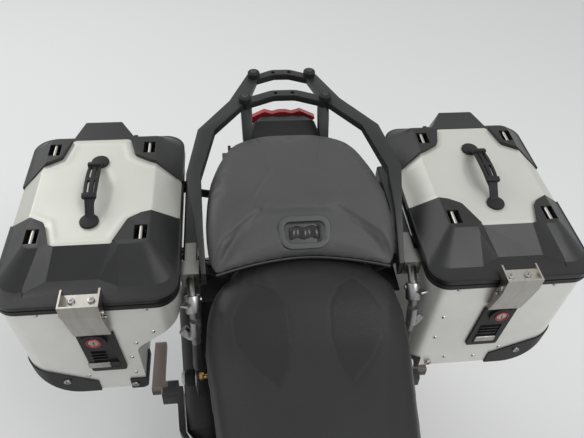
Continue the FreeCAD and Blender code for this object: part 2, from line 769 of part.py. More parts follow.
shaft_x, shaft_z = output_shaft
shaft = across(shaft_x, shaft_z, 12.0, gearbox_left, chain_side + sprocket_half + 6)
drive = sprocket(shaft_x, shaft_z, front_teeth, chain_side - sprocket_half, chain_side + sprocket_half)
save("chain", group(chain() + [fused([shaft, drive])]))

# Swingarm with pivot tube and cross member, rear axle, shock

arm_sections = [
    (-166, 90, 117, 350, 408),
    (-300, 94, 119, 342, 408),
    (-430, 108, 138, 325, 402),
    (-560, 118, 148, 310, 388),
    (-800, 118, 148, 300, 360),
]
arm = beam(arm_sections)
pivot_tube = across(swingarm_pivot[0], swingarm_pivot[1], pivot_tube_radius, -plate_outer - 4, plate_outer + 4)
cross = slab("xz", [(-392, 346), (-300, 340), (-292, 352), (-292, 402), (-340, 414), (-386, 404)], -112, 112, 8)
shock_lug = slab("xz", [(-330, 400), (-290, 400), (-292, 452), (-318, 452)], -22, 22, [0, 0, 12, 12])
shock_lug = shock_lug.cut(box((-400, -200), (-14.3, 14.3), (418, 500)))
axle_slot = across(rear_axle_x, rear_axle_z, rear_axle_radius + seat_gap, -300, 300)
swingarm = fused([arm, mirrored(arm), pivot_tube, cross, shock_lug]).cut(axle_slot)
save("swingarm", swingarm)

arm_inner = 118.0
arm_outer = 148.0
axle = across(rear_axle_x, rear_axle_z, rear_axle_radius, -arm_outer - 14, arm_outer + 14)
for low, high in ((rear_hub_high + seat_gap, arm_inner - seat_gap), (-arm_inner + seat_gap, rear_hub_low - 6.3)):
    axle = axle.fuse(across(rear_axle_x, rear_axle_z, 20.0, low, high))
for low, high in ((arm_outer + seat_gap, arm_outer + 14), (-arm_outer - 14, -arm_outer - seat_gap)):
    axle = axle.fuse(across(rear_axle_x, rear_axle_z, 19.0, low, high))
save("rear_axle", axle)

rear_caliper = caliper(rear_axle_x, rear_axle_z, rear_disc_radius, 30.0, 52.0, -rear_disc_side, -rear_disc_side + 5,
                       -rear_disc_side - 15, arm_inner - seat_gap)
rear_caliper = mirrored(rear_caliper).cut(mirrored(arm)).cut(cross)
save("rear_caliper", group([max(rear_caliper.Solids, key=lambda solid: solid.Volume)]))

shock_low = Vector(-306.0, 0.0, 432.0)
shock_high = Vector(-236.0, 0.0, 690.0)


def shock_part(first, last, radius):
    """Coaxial piece of the shock between two shares of its length."""
    span = shock_high - shock_low
    return rod(tuple(shock_low + span * first), tuple(shock_low + span * last), radius)


damper = [shock_part(0.06, 0.96, 13.0), shock_part(0.12, 0.18, 31.0), shock_part(0.86, 0.92, 31.0),
          shock_part(0.72, 0.86, 20.0), across(shock_low.x, shock_low.z, 13.0, -14, 14),
          across(shock_high.x, shock_high.z, 13.0, -14, 14)]
damper.append(rod((-244, 12, 667), (-248, 58, 667), 7.0))
damper.append(rod((-246, 60, 680), (-278, 60, 552), 17.0))
coils = [shock_part(0.18, 0.859, 23.5)]
for i in range(8):
    low = 0.20 + i * 0.08
    coils.append(shock_part(low, low + 0.045, 29.0))
spring = fused(coils).cut(shock_part(0.1, 0.95, 20.3))
save("rear_shock", group([fused(damper), spring]))

# Subframe: top rails, lower struts, cross members and the shock tower

subframe_side = 104.0
rail_points = [(-118, subframe_side, 742), (-330, subframe_side - 2, 790), (-560, subframe_side - 4, 836),
               (-900, 84, 872)]
strut_points = [(-196, subframe_side, 560), (-420, subframe_side, 700), (-640, 99, 826)]
rail_radius = 12.5
brace_points = [(-330, subframe_side - 2, 790), (-300, subframe_side, 622)]
subframe_pieces = []
for sign in (1, -1):
    for points in (rail_points, strut_points, brace_points):
        run = [(x, sign * y, z) for x, y, z in points]
        subframe_pieces.append(tube(run, rail_radius, 120.0))
for x, side, z in ((-236, subframe_side, 768), (-560, subframe_side - 4, 836), (-860, 86, 868)):
    subframe_pieces.append(across(x, z, 10.0, -side, side))
for sign in (1, -1):
    for x, z in ((-122, 741), (-196, 562)):
        ends = sorted((sign * 88, sign * (plate_inner - seat_gap)))
        subframe_pieces.append(across(x, z, 16.0, ends[0], ends[1]))
tower = slab("xz", [(-262, 677), (-206, 684), (-220, 780), (-252, 780)], 14.3, 22.3, 8)
subframe_pieces.extend([tower, mirrored(tower)])
save("subframe", fused(subframe_pieces))

# Radiator with its tanks, fan shroud and lugs to the spars

radiator_x = 455.0
radiator_low = 560.0
radiator_high = 796.0
core = box((radiator_x, radiator_x + 26), (-135, 135), (radiator_low, radiator_high))
fin_pitch = 24.0
fins = []
for i in range(10):
    low = radiator_low + 6 + i * fin_pitch
    fins.append(box((radiator_x + 26 - 4, radiator_x + 27), (-133, 133), (low + 9, low + 15)))
core = core.cut(group(fins))
tank_side = slab("xz", [(radiator_x - 6, radiator_low - 6), (radiator_x + 32, radiator_low - 6),
                        (radiator_x + 32, radiator_high + 6), (radiator_x - 6, radiator_high + 6)], 135, 168, 6)
lug = box((radiator_x - 2, radiator_x + 8), (16, 38), (radiator_high - 20, 880)).cut(spar)
radiator = fused([core, tank_side, mirrored(tank_side), lug, mirrored(lug)])
save("radiator", radiator)

# Exhaust: four header pipes to a collector, then the silencer on the right

headers = []
pipe_radius = 19.0
rear_pipe_radius = 15.0
port = bank_point(76 + seat_gap, 252, front_lean)
port_out = bank_point(130, 252, front_lean)
for side in (62.0, -62.0):
    points = [(port[0], side, port[1]), (port_out[0], side, port_out[1]), (394, side, 360), (392, side * 0.9, 226),
              (300, side * 0.6, 196), (60, side * 0.5, 196)]
    headers.append(tube(points, pipe_radius, 44.0))
rear_port = bank_point(-76 - seat_gap, 236, rear_lean)
rear_port_out = bank_point(-128, 236, rear_lean)
for side in (44.0, -44.0):
    points = [(rear_port[0], side, rear_port[1]), (rear_port_out[0], side, rear_port_out[1]), (-165, side, 430),
              (-165, side, 240), (-120, side * 0.8, 196), (-60, side * 0.6, 196)]
    headers.append(tube(points, rear_pipe_radius, 30.0))
collector = box((-110, 62), (-62, 58), (168, 224))
collector = collector.makeFillet(18.0, [e for e in collector.Edges if abs(e.BoundBox.XLength) > 100])
link = [(-90, -30, 196), (-150, -60, 200), (-214, -176, 262), (-300, -190, 400), (-452, -190, 466)]
headers.append(tube(link, 24.0, 50.0))
exhaust = fused(headers + [collector]).cut(engine)
save("exhaust_pipes", max(exhaust.Solids, key=lambda solid: solid.Volume))

silencer_start = Vector(-452.0, -190.0, 466.0)
silencer_end = Vector(-800.0, -212.0, 584.0)


def silencer_part(first, last, radius, radius_end):
    """Coaxial piece of the silencer between two distances along it."""
    along = Vector(silencer_end - silencer_start).normalize()
    start = silencer_start + along * first
    if radius == radius_end:
        return Part.makeCylinder(radius, last - first, start, along)
    return Part.makeCone(radius, radius_end, last - first, start, along)


silencer_radius = 47.0
silencer_length = (silencer_end - silencer_start).Length
silencer = fused([silencer_part(0, 30, 27.0, silencer_radius), silencer_part(30, silencer_length - 40, silencer_radius,
                  silencer_radius), silencer_part(silencer_length - 40, silencer_length, silencer_radius, 36.0)])
silencer = silencer.cut(silencer_part(silencer_length - 90, silencer_length + 1, 24.0, 24.0)).cut(group(headers))
save("silencer", silencer)

# Sump guard

guard = slab("xz", [(-130, 150), (330, 150), (418, 250), (412, 256), (324, 156), (-130, 156)], -120, 120,
             [0, 30, 0, 0, 26, 0])
cheek = slab("xz", [(-130, 150), (330, 150), (418, 250), (400, 262), (300, 206), (-130, 196)], 116, 120, 4)
guard_stay = box((150, 166), (-20, 20), (156, 227.7))
save("sump_guard", fused([guard, cheek, mirrored(cheek), guard_stay]).cut(group(headers + [collector])))

# Tank, seats and the switch in the passenger seat

tank = hull([
    (60, 118, 96, 800, 886),
    (150, 168, 118, 790, 960),
    (290, 186, 128, 800, 1040),
    (398, 160, 104, 850, 1030),
], 18, 46)
frame_room = slab("xz", [(0, 700), (460, 700), (460, 962), (340, 930), (190, 832), (0, 806)], -152, 152)
tank = tank.cut(frame_room).cut(steer_rod(0, 0, (700, 1300), clamp_sweep))
cap = rod((262, 0, 1030), (262, 0, 1042), 34.0)
tank_pad = box((240, 290), (90, 112), (840, 900)).cut(spar)
save("fuel_tank", fused([tank, cap, tank_pad, mirrored(tank_pad)]))

rider_seat = hull([
    (60 - seat_gap, 112, 84, 812, 876),
    (-70, 128, 104, 812, 852),
    (-290, 158, 136, 812, 860),
    (-440, 178, 158, 818, 872),
    (-510, 172, 152, 834, 892),
    (-560, 150, 138, 856, 904),
    (-606, 116, 106, 888, passenger_seat_bottom - seat_gap),
], 8, 18)
subframe_room = group([tube([(x, sign * y, z) for x, y, z in points], rail_radius + seat_gap, 120.0)
                       for sign in (1, -1) for points in (rail_points, strut_points)])
save("rider_seat", rider_seat.cut(subframe_room))

pillion_plan = [(-562, 146), (-574, 100), (-594, 0), (-574, -100), (-562, -146), (-585, -163), (-650, -169),
                (-750, -162), (-845, -132), (-904, -60), (-904, 60), (-845, 132), (-750, 162), (-650, 169),
                (-585, 163)]
pillion_side = [(-540, passenger_seat_bottom), (-920, passenger_seat_bottom), (-910, 952), (-800, 966), (-668, 969),
                (-598, 927), (-540, 914)]
pillion = slab("xy", pillion_plan, passenger_seat_bottom, 1000, [12, 60, 60, 60, 12, 14, 60, 60, 40, 40, 40, 40, 60, 60, 14])
pillion = pillion.common(slab("xz", pillion_side, -200, 200, [0, 0, 20, 60, 40, 40, 0]))
bezel_length = 58.0
bezel_half = 45.0
bezel_x = -621.4
bezel_z = 941.0
bezel_tilt = 31.0
bezel_stand = 3.0
bezel_depth = 22.0


def bezel_plan(margin):
    """Plan of the bezel, a little narrower at its front, with a margin."""
    rear, front = bezel_x - bezel_length / 2 - margin, bezel_x + bezel_length / 2 + margin
    half = bezel_half + margin
    return [(rear, -half + 3), (front, -half + 9), (front, half - 9), (rear, half - 3)]


def in_bezel(margin, low, high, corner):
    """Block of the bezel's plan between two depths from the seat's skin, on its slope."""
    block = slab("xy", bezel_plan(margin), bezel_z + low, bezel_z + high, corner)
    return turned(block, bezel_x, bezel_z, bezel_tilt)


save("passenger_seat", pillion.cut(in_bezel(seat_gap, -bezel_depth - seat_gap, 40, 16)))
ring = in_bezel(0, -bezel_depth, bezel_stand, 16).cut(in_bezel(-11, -6, 40, 8))
rocker = in_bezel(-14, -6, 0, 6)
save("seat_switch", fused([ring, rocker]))

# Front cowl with beak, headlight, screen, dash and side panels

cowl = hull([
    (640, 120, 86, 930, 1080),
    (740, 112, 78, 905, 1088),
    (842, 84, 50, 870, 1000),
], 20, 24)
beak = hull([
    (700, 78, 66, 816, 872),
    (860, 66, 54, 800, 842),
    (960, 30, 24, 792, 812),
], 6, 10)
cowl_room = hull([
    (600, 108, 74, 940, 1068),
    (700, 100, 66, 918, 1072),
    (800, 76, 44, 890, 1010),
], 14, 18)
lamp_outline = [(-70, 892), (-84, 960), (-46, 985), (46, 985), (84, 960), (70, 892), (0, 876)]
lamp = slab("yz", lamp_outline, 780, 862, 12)
lamp_room = slab("yz", [(y * 1.01, 934 + (z - 934) * 1.01) for y, z in lamp_outline], 770, 900, 12)
web = box((700, 830), (-50, 50), (850, 925))
cowl = fused([cowl, beak, web]).cut(cowl_room)
lamp = lamp.common(hull([(700, 120, 90, 850, 1060), (830, 108, 84, 864, 1020), (866, 60, 34, 880, 950)], 16, 20))
lamp = lamp.cut(cowl_room.common(box((600, 800), (-200, 200), (800, 1100))))
stay_places = [(31, 1000), (31, 1050), (150, 1078), (196, 1098), (206, 1092), (206, 1068), (150, 1040)]
nose_stay = slab("xz", [(x, z) for x, side, z in [steer(ahead, 0, up) for ahead, up in stay_places]], -9, 9)
nose_stay = nose_stay.cut(steer_rod(0, 0, (head_low - 20, head_high + 20), 33.0 + seat_gap))
save("front_cowl", cowl.fuse(nose_stay).cut(lamp_room))
save("headlight", lamp)

screen = slab("xz", [(779, 1036), (700, 1260), (652, 1420), (657, 1422), (706, 1262), (784, 1040)], -165, 165,
              [0, 300, 0, 0, 306, 0])
screen_front = [(-104, 1030), (-160, 1180), (-150, 1330), (-104, 1418), (104, 1418), (150, 1330), (160, 1180),
                (104, 1030)]
screen = screen.common(slab("yz", screen_front, 600, 800, [10, 80, 60, 40, 40, 60, 80, 10]))
save("windscreen", max(screen.cut(cowl).Solids, key=lambda solid: solid.Volume))

dash = slab("xz", [(628, 1100), (640, 1092), (664, 1170), (650, 1178)], -76, 76, 5)
dash_stay = [box((640, 668), (y - 8, y + 8), (1076, 1102)) for y in (-40, 40)]
cowl_top = hull([(640, 120, 86, 930, 1080 + seat_gap), (740, 112, 78, 905, 1088 + seat_gap)], 20, 24)
save("dash", fused([dash] + dash_stay).cut(cowl_top))


def side_panel():
    """Angular shroud beside the tank and radiator, open behind its lower edge."""
    outline = [(150, 1000), (392, 1030), (560, 1000), (650, 930), (600, 850), (500, 640), (420, 560), (330, 640),
               (250, 760), (168, 800)]
    panel = slab("xz", outline, 188, 196, [20, 40, 60, 30, 40, 40, 20, 40, 30, 20])
    ridge = slab("xz", [(240, 960), (520, 975), (610, 925), (480, 800), (380, 780)], 196, 210, [30, 30, 12, 40, 40])
    ridge = ridge.makeFillet(10.0, [e for e in ridge.Edges if e.BoundBox.YMin > 209])
    return fused([panel, ridge])


panel = side_panel()
panel_stays = [rod((radiator_x + 13, 168 + seat_gap, z), (radiator_x + 13, 188, z), 7.0) for z in (620.0, 760.0)]
panel_stays.append(rod((640, 116, 950), (640, 188, 940), 7.0))
panel = fused([panel] + panel_stays).cut(tank).cut(cowl)
save("side_panels", both(max(panel.Solids, key=lambda solid: solid.Volume)))

# Tail piece, tail light, indicators, rear mudguard

rack_foot_ends = [(-592, 176, 896), (-592, 100, 843)]
rack_foot_radius = 9.0
rack_foot_room = both(rod(*rack_foot_ends, rack_foot_radius + seat_gap))
bar_low = rack_top - rack_bar_thickness
post_sections = [(-964, 70, 94, bar_low, rack_top), (-928, 70, 92, 912, 952), (-896, 74, 90, 874, 902)]
post = beam(post_sections)
rail_sections = [
    (-1052, 48, 74, bar_low, rack_top),
    (-955, 78, 116, bar_low, rack_top),
    (-862, 147, 180, bar_low - 1, rack_top),
    (-740, 174, 200, 962, 980),
    (-655, 173, 186, 922, 955),
    (-566, 169, 177, 878, 910),
]
grip_rail = beam(rail_sections)
rear_bar = slab("xy", [(-1044, -66), (-1067, -20), (-1067, 20), (-1044, 66), (-1026, 66), (-1048, 16), (-1048, -16),
                       (-1026, -66)], bar_low, rack_top, [4, 30, 30, 4, 4, 24, 24, 4])
front_bar = slab("xy", [(-962, -86), (-989, -26), (-989, 26), (-962, 86), (-940, 86), (-969, 22), (-969, -22),
                        (-940, -86)], bar_low, rack_top, [4, 40, 40, 4, 4, 34, 34, 4])
rack_foot = rod(*rack_foot_ends, rack_foot_radius)
rack = fused([grip_rail, mirrored(grip_rail), rear_bar, front_bar, post, mirrored(post), rack_foot,
              mirrored(rack_foot)])
case_hole = 4.25
hole_run = 10.0
hole_spacing_x = 78.0
hole_spacing_y = 36.0
hole_x = -1018.0
for x in (hole_x - hole_spacing_x / 2, hole_x + hole_spacing_x / 2):
    for y in (-hole_spacing_y / 2, hole_spacing_y / 2):
        rack = rack.cut(rod((x, y, bar_low - hole_run), (x, y, rack_top + hole_run), case_hole))
rack = rack.cut(subframe_room)
save("luggage_rack", group([max(rack.Solids, key=lambda solid: solid.Volume)]))

knobs = []
for x, side in ((-1042.0, 61.0), (-952.0, 84.0)):
    knob = rod((x, side, rack_top), (x, side, rack_top + knob_height), knob_radius)
    knobs.append(knob.makeFillet(4.0, [e for e in knob.Edges if e.BoundBox.ZMin > rack_top + knob_height - 1]))
save("rack_knobs", both(group(knobs)))

post_room = beam([(x, near - 1, far + 1, low - 1, high + 1) for x, near, far, low, high in post_sections])
tail = hull([(-902, 98, 84, 852, 900), (-960, 84, 66, 858, 926), (-1004, 74, 44, 872, 908)], 6, 10)
tail_side = slab("xz", [(-614, 844), (-905, 874), (-905, passenger_seat_bottom - seat_gap),
                        (-614, passenger_seat_bottom - seat_gap)], 118, 124, [10, 0, 0, 20])
tail_neck = slab("xz", [(-884, 872), (-908, 872), (-908, 898), (-884, 898)], 90, 124)
tail = fused([tail, tail_side, mirrored(tail_side), tail_neck, mirrored(tail_neck)])
tail = tail.cut(group([post_room, mirrored(post_room), subframe_room, rack_foot_room]))
lens_outline = [(-78, 898), (-40, 918), (-22, 912), (-8, 916), (8, 916), (22, 912), (40, 918), (78, 898), (58, 880),
                (-58, 880)]
lens = slab("yz", lens_outline, -1016, -1004.3, [4, 4, 6, 6, 6, 6, 4, 4, 6, 6])

plate_arm = slab("xz", [(-940, 846), (-940, 868), (-1000, 882), (-1022, 872), (-1140, 640), (-1150, 500), (-1143, 500),
                        (-1133, 640), (-1012, 850)], -70, 70, [0, 0, 0, 0, 60, 0, 0, 60, 0])
lamp_bar = across(-1107.0, 690.0, 7.0, -96, 96)
save("tail_unit", fused([tail, plate_arm, lamp_bar]))

rear_lamp = slab("xz", [(-1127, 678), (-1091, 680), (-1091, 700), (-1127, 702)], 96 + seat_gap, 142, 7)
front_lamp = slab("xz", [(716, 926), (760, 930), (760, 950), (716, 954)], 150, 196, 7)
front_lamp = fused([front_lamp, across(738.0, 940.0, 6.0, 100.0, 152.0)]).cut(cowl).cut(panel)
front_lamp = max(front_lamp.Solids, key=lambda solid: solid.Volume)
save("signal_lamps", group([lens, both(rear_lamp), both(front_lamp)]))

# Footrests, passenger footrests and pedals

rider_peg_x = -112.0
rider_peg_z = 344.0
heel_plate = slab("xz", [(-60, 302), (-60, 346), (-92, 392), (-170, 486), (-232, 500), (-240, 452), (-180, 400),
                         (-132, 302)],
                  plate_outer + seat_gap, plate_outer + 7, 12)
heel_plate = heel_plate.cut(across(swingarm_pivot[0], swingarm_pivot[1], pivot_tube_radius + 2, 0, 200))
peg = slab("xy", [(rider_peg_x - 26, 153), (rider_peg_x + 26, 153), (rider_peg_x + 24, 246), (rider_peg_x - 20, 246)],
           rider_peg_z - 6, rider_peg_z + 8, [0, 0, 12, 12])
for i in range(3):
    slot = box((rider_peg_x - 14, rider_peg_x + 14), (166 + i * 26, 180 + i * 26), (300, 400))
    peg = peg.cut(slot)
carrier = beam([
    (-200, plate_outer + seat_gap, 157, 455, 512),
    (-330, 160, 172, 470, 512),
    (-470, 240, 252, 470, 505),
    (-580, 250, 264, 440, 484),
])
hinge_block = slab("xz", [(-556, 440), (-600, 440), (-604, 474), (-560, 480)], 262, 296, 8)
peg_bar = slab("xz", [(-584, 436), (-714, 436), (-714, 462), (-584, 466)], 296, 322, [6, 10, 10, 6])
footrest = fused([heel_plate, peg, carrier, hinge_block, peg_bar])

pedal = tube([(-72, -164, 320), (40, -170, 318), (96, -182, 322)], 7.0, 30.0)
pedal_pivot = across(-76.0, 320.0, 11.0, -172, -plate_outer - 7 - seat_gap)
pedal_pad = box((78, 112), (-206, -176), (316, 328))
brake_pedal = fused([pedal, pedal_pivot, pedal_pad])
lever = tube([(-72, 164, 320), (60, 176, 322), (88, 176, 322)], 6.0, 30.0)
lever_pivot = across(-76.0, 320.0, 11.0, plate_outer + 7 + seat_gap, 170)
lever_pad = across(88.0, 322.0, 9.0, 172, 206)
gear_lever = fused([lever, lever_pivot, lever_pad])
reservoir = rod((-262, -160, 560), (-262, -160, 604), 19.0)
reservoir_arm = rod((-262, -160, 594), (-262, -106, 600), 8.0)
reservoir = fused([reservoir, rod((-262, -160, 604), (-262, -160, 612), 22.0), reservoir_arm]).cut(subframe_room)
brake_pedal = brake_pedal.cut(mirrored(heel_plate)).cut(clutch_side[0])
save("footrests", group([both(footrest), brake_pedal, gear_lever.cut(heel_plate), reservoir]))

# Case racks: a rectangular rail at the top with its end block, and a hoop down inside the case

rack_rail_in = 184.0
rack_rail_out = 210.0
rail_low = 872.0
rail_high = 900.0
rail_front = -602.0
rail_rear = -830.0
rail_bar = box((rail_rear, rail_front), (rack_rail_in, rack_rail_out), (rail_low, rail_high))
rail_bar = rail_bar.makeFillet(4.0, [e for e in rail_bar.Edges if e.BoundBox.XLength > 100])
end_block = box((rail_front, rail_front + 30), (rack_rail_in - 3, rack_rail_out + 3), (rail_low - 3, rail_high + 3))
hoop = tube([(-574, 197, 886), (-536, 194, 872), (-508, 192, 826), (-506, 198, 700), (-540, 204, 656),
             (-850, 206, 656), (-872, 204, 700), (-826, 197, 884)], 8.0, 26.0)
stays = [rod((x, 106, z), (x, rack_rail_in + 2, 882), 8.0) for x, z in ((-618.0, 846.0), (-792.0, 862.0))]
pucks = [across(x, 886.0, 12.0, rack_rail_out - 1, case_inner - seat_gap) for x in (-632.0, -806.0)]
case_rack = fused([rail_bar, end_block, hoop] + stays + pucks)
case_rack = case_rack.cut(subframe_room).cut(rack_foot_room).cut(tail_side)
case_rack = max(case_rack.Solids, key=lambda solid: solid.Volume)
save("case_racks", both(case_rack))

# Side cases. Outlines are (outward side, height); the right one is cut away for the silencer.

def fitted(side):
    """Place across the lid, drawn on a case 290 mm wide, set on a case of this width."""
    return case_inner + (side - drawn_inner) * (case_outer - case_inner) / drawn_width


latch_inner = fitted(latch_side) - latch_width / 2
latch_outer = latch_inner + latch_width
lock_side = fitted(latch_side)
hinge_ears = [(fitted(side) - hinge_ear_width / 2, fitted(side) + hinge_ear_width / 2) for side in (318.0, 432.0)]
belly = case_outer - 56
left_section = [(case_inner, case_top), (case_outer, case_top), (case_outer, 700), (belly, case_bottom),
                (case_inner, case_bottom)]
left_radii = [0, 0, 60, 60, 16]
cut_side = 302.0
right_section = [(case_inner, case_top), (case_outer, case_top), (case_outer, 700), (belly, case_bottom),
                 (cut_side, case_bottom), (cut_side, 764), (case_inner, 836)]
right_radii = [0, 0, 60, 60, 16, 30, 24]


def case_plan(margin):
    """Plan of the case with rounded upright corners, drawn in by a margin."""
    return [(case_front - margin, case_inner + margin), (case_front - margin, case_outer - margin),
            (case_rear + margin, case_outer - margin), (case_rear + margin, case_inner + margin)]


def shrunk(section, margin):
    """Section drawn in by the wall, open at the top."""
    inner = []
    for side, height in section:
        middle = (case_inner + case_outer) / 2
        side += margin if side < middle else -margin
        height = case_top + 1 if height == case_top else height + margin
        inner.append((side, height))
    return inner


def case_box(section, radii):
    """Open sheet box: the section carried fore and aft, its upright corners rounded, walls of one thickness."""
    solid = slab("yz", section, case_rear, case_front, radii)
    solid = solid.common(slab("xy", case_plan(0), 500, 1000, case_corner))
    inner = slab("yz", shrunk(section, case_wall), case_rear + case_wall, case_front - case_wall, radii)
    inner = inner.common(slab("xy", case_plan(case_wall), 500, 1000, case_corner - case_wall))
    return solid.cut(inner)


left_box = case_box(left_section, left_radii)
right_box = mirrored(case_box(right_section, right_radii))
save("case_box_left", left_box)
save("case_box_right", right_box)


def protector_set(section, radii, inner_side):
    """Plastic caps over the four lower corners, thicker than the sheet they cover."""
    thick = 3.0
    outer = slab("yz", [(s + (thick if s > lock_side else -thick), h - (thick if h < 700 else 0)) for s, h in section],
                 case_rear - thick, case_front + thick, radii)
    plan = [(case_front + thick, case_inner - thick), (case_front + thick, case_outer + thick),
            (case_rear - thick, case_outer + thick), (case_rear - thick, case_inner - thick)]
    outer = outer.common(slab("xy", plan, 500, 1000, case_corner + thick))
    core = slab("yz", section, case_rear, case_front, radii)
    core = core.common(slab("xy", case_plan(0), 500, 1000, case_corner))
    shell = outer.cut(core)
    caps = []
    for low, high in ((case_front - 62, case_front + thick), (case_rear - thick, case_rear + 62)):
        corner_out = slab("yz", [(case_outer - 116, 600), (case_outer + 12, 600), (case_outer + 12, 724),
                                 (case_outer - 18, 712), (case_outer - 116, 655)], low, high)
        corner_in = slab("yz", [(inner_side - 8, 600), (inner_side + 32, 600), (inner_side + 30, 655),
                                (inner_side - 8, 655)], low, high)
        caps.extend([shell.common(corner_out), shell.common(corner_in)])
    return group(caps)


def lock_plate():
    """Tapered plate with a recessed pull, a release bar and the round lock above it."""
    plate = slab("yz", [(latch_inner - 4, 700), (latch_outer - 4, 700), (latch_outer, 828), (latch_inner, 828)],
                 case_front, case_front + 5, 5)
    barrel = rod((case_front + 4, lock_side + 4, 806), (case_front + 10, lock_side + 4, 806), 22.0)
    keyhole = rod((case_front + 8, lock_side + 4, 806), (case_front + 14, lock_side + 4, 806), 11.5)
    hollow = box((case_front + 2, case_front + 20), (latch_inner + 6, latch_outer - 14), (712, 772))
    bar_piece = box((case_front + 1, case_front + 6), (latch_inner + 6, latch_outer - 16), (716, 730))
    return fused([fused([plate, barrel]).cut(hollow).cut(keyhole), bar_piece])



def hinge_mount():
    """Hinge pin between two ears on the back of the case."""
    x, z = hinge
    pin = across(x, z, hinge_pin_radius, hinge_ears[0][0], hinge_ears[1][1])
    ears = [box((x - 5, case_rear), ear, (z - 5, case_top - seat_gap)) for ear in hinge_ears]
    return fused([pin] + ears)


save("case_protectors", group([protector_set(left_section, left_radii, case_inner),
                               mirrored(protector_set(right_section, right_radii, cut_side))]))
save("case_fittings", both(group([lock_plate(), hinge_mount()])))

# Lids: plastic cover with raised corners, silver plate let into it, strap handle, tie-down bars and latch

rim_side_in = case_inner - rim_overhang
rim_side_out = case_outer + rim_overhang
rim_front = case_front + rim_overhang
rim_rear = case_rear - rim_overhang
rim_low = case_top + seat_gap
lid_reach = (rim_side_in - 13, rim_side_out + 7)
plate_outline = [(x, fitted(y)) for x, y in (
    (-610, 322), (-610, 426), (-660, 440), (-673, 464), (-693, 520), (-786, 520), (-816, 460), (-830, 438), (-886, 426),
    (-886, 316), (-835, 303), (-816, 274), (-787, 205), (-693, 205), (-675, 278), (-662, 300))]
plate_radii = [6, 6, 14, 10, 0, 0, 12, 12, 10, 10, 12, 12, 0, 0, 12, 14]
plate_side_in = rim_side_in + 3
plate_side_out = rim_side_out - 3
plate_crease_in = plate_side_in + 46
plate_crease_out = plate_side_out - 40
plate_edge = 914.0
plate_sheet = 3.0


def level_plan(front, rear, side, height, corner):
    """Rounded plan of the lid at one height, drawn in from the rim at its front, rear and sides."""
    points = [(rim_front - front, rim_side_in + side), (rim_front - front, rim_side_out - side),
              (rim_rear + rear, rim_side_out - side), (rim_rear + rear, rim_side_in + side)]
    return rounded([Vector(x, y, height) for x, y in points], corner)


def band(inset, low, high):
    """Slice of the rim between two heights."""
    plan = level_plan(inset, inset, inset, low, case_corner + rim_overhang - inset)
    return Part.Face(plan).extrude(Vector(0, 0, high - low))


def crown(shrink):
    """Sloped top of the lid above its rim, drawn in by a wall: a shallow shoulder, then the faces up to the crest."""
    corner = case_corner + rim_overhang - shrink
    shoulder = rim_top + shoulder_rise
    lower = Part.makeLoft([level_plan(shrink + 3, shrink + 3, shrink + 3, rim_top, corner - 3),
                           level_plan(shrink + 27, shrink + 9, shrink + 8, shoulder, corner - 6)], True, True)
    upper = Part.makeLoft([level_plan(shrink + 27, shrink + 9, shrink + 8, shoulder, corner - 6),
                           level_plan(shrink + 90, shrink + 44, shrink + 48, lid_crown - shrink, 12)], True, True)
    return fused([lower, upper])


def over(first, second, third, outline):
    """Everything over the plane through three points, within an outline."""
    origin = Vector(*first)
    normal = (Vector(*second) - origin).cross(Vector(*third) - origin)
    corners = [Vector(x, y, origin.z - (normal.x * (x - origin.x) + normal.y * (y - origin.y)) / normal.z)
               for x, y in outline]
    return Part.Face(Part.makePolygon(corners + corners[:1])).extrude(Vector(0, 0, 100))


def lid_recess():
    """Room of the front recess: a floor that falls to a level ledge, a sloped flank and a cut face at each side."""
    near, far = fitted(290), fitted(460)
    block_in = (-593, fitted(313), 950)
    block_out = (-595, fitted(440), 950)
    foot_in = (recess_front, fitted(345), recess_floor)
    foot_out = (recess_front, fitted(428), recess_floor)
    zone = [(recess_back, near), (-500, near), (-500, far), (recess_back, far)]
    room = over((recess_back, fitted(345), 951), foot_in, foot_out, zone)
    room = room.common(over((-608, fitted(323), 950), block_in, foot_in, zone))
    room = room.common(over((-605, fitted(425), 950), block_out, foot_out, zone))
    cut_in = over(block_in, (-540, fitted(310), 917), foot_in,
                  [block_in[:2], (-500, fitted(308)), (-500, fitted(345)), foot_in[:2]])
    cut_out = over(block_out, (-531, fitted(428), 917), foot_out,
                   [block_out[:2], (-500, fitted(436)), (-500, fitted(427)), foot_out[:2]])
    above_ledge = box((-700, -500), lid_reach, (recess_floor, 1100))
    return [piece.common(above_ledge) for piece in (room, cut_in, cut_out)]


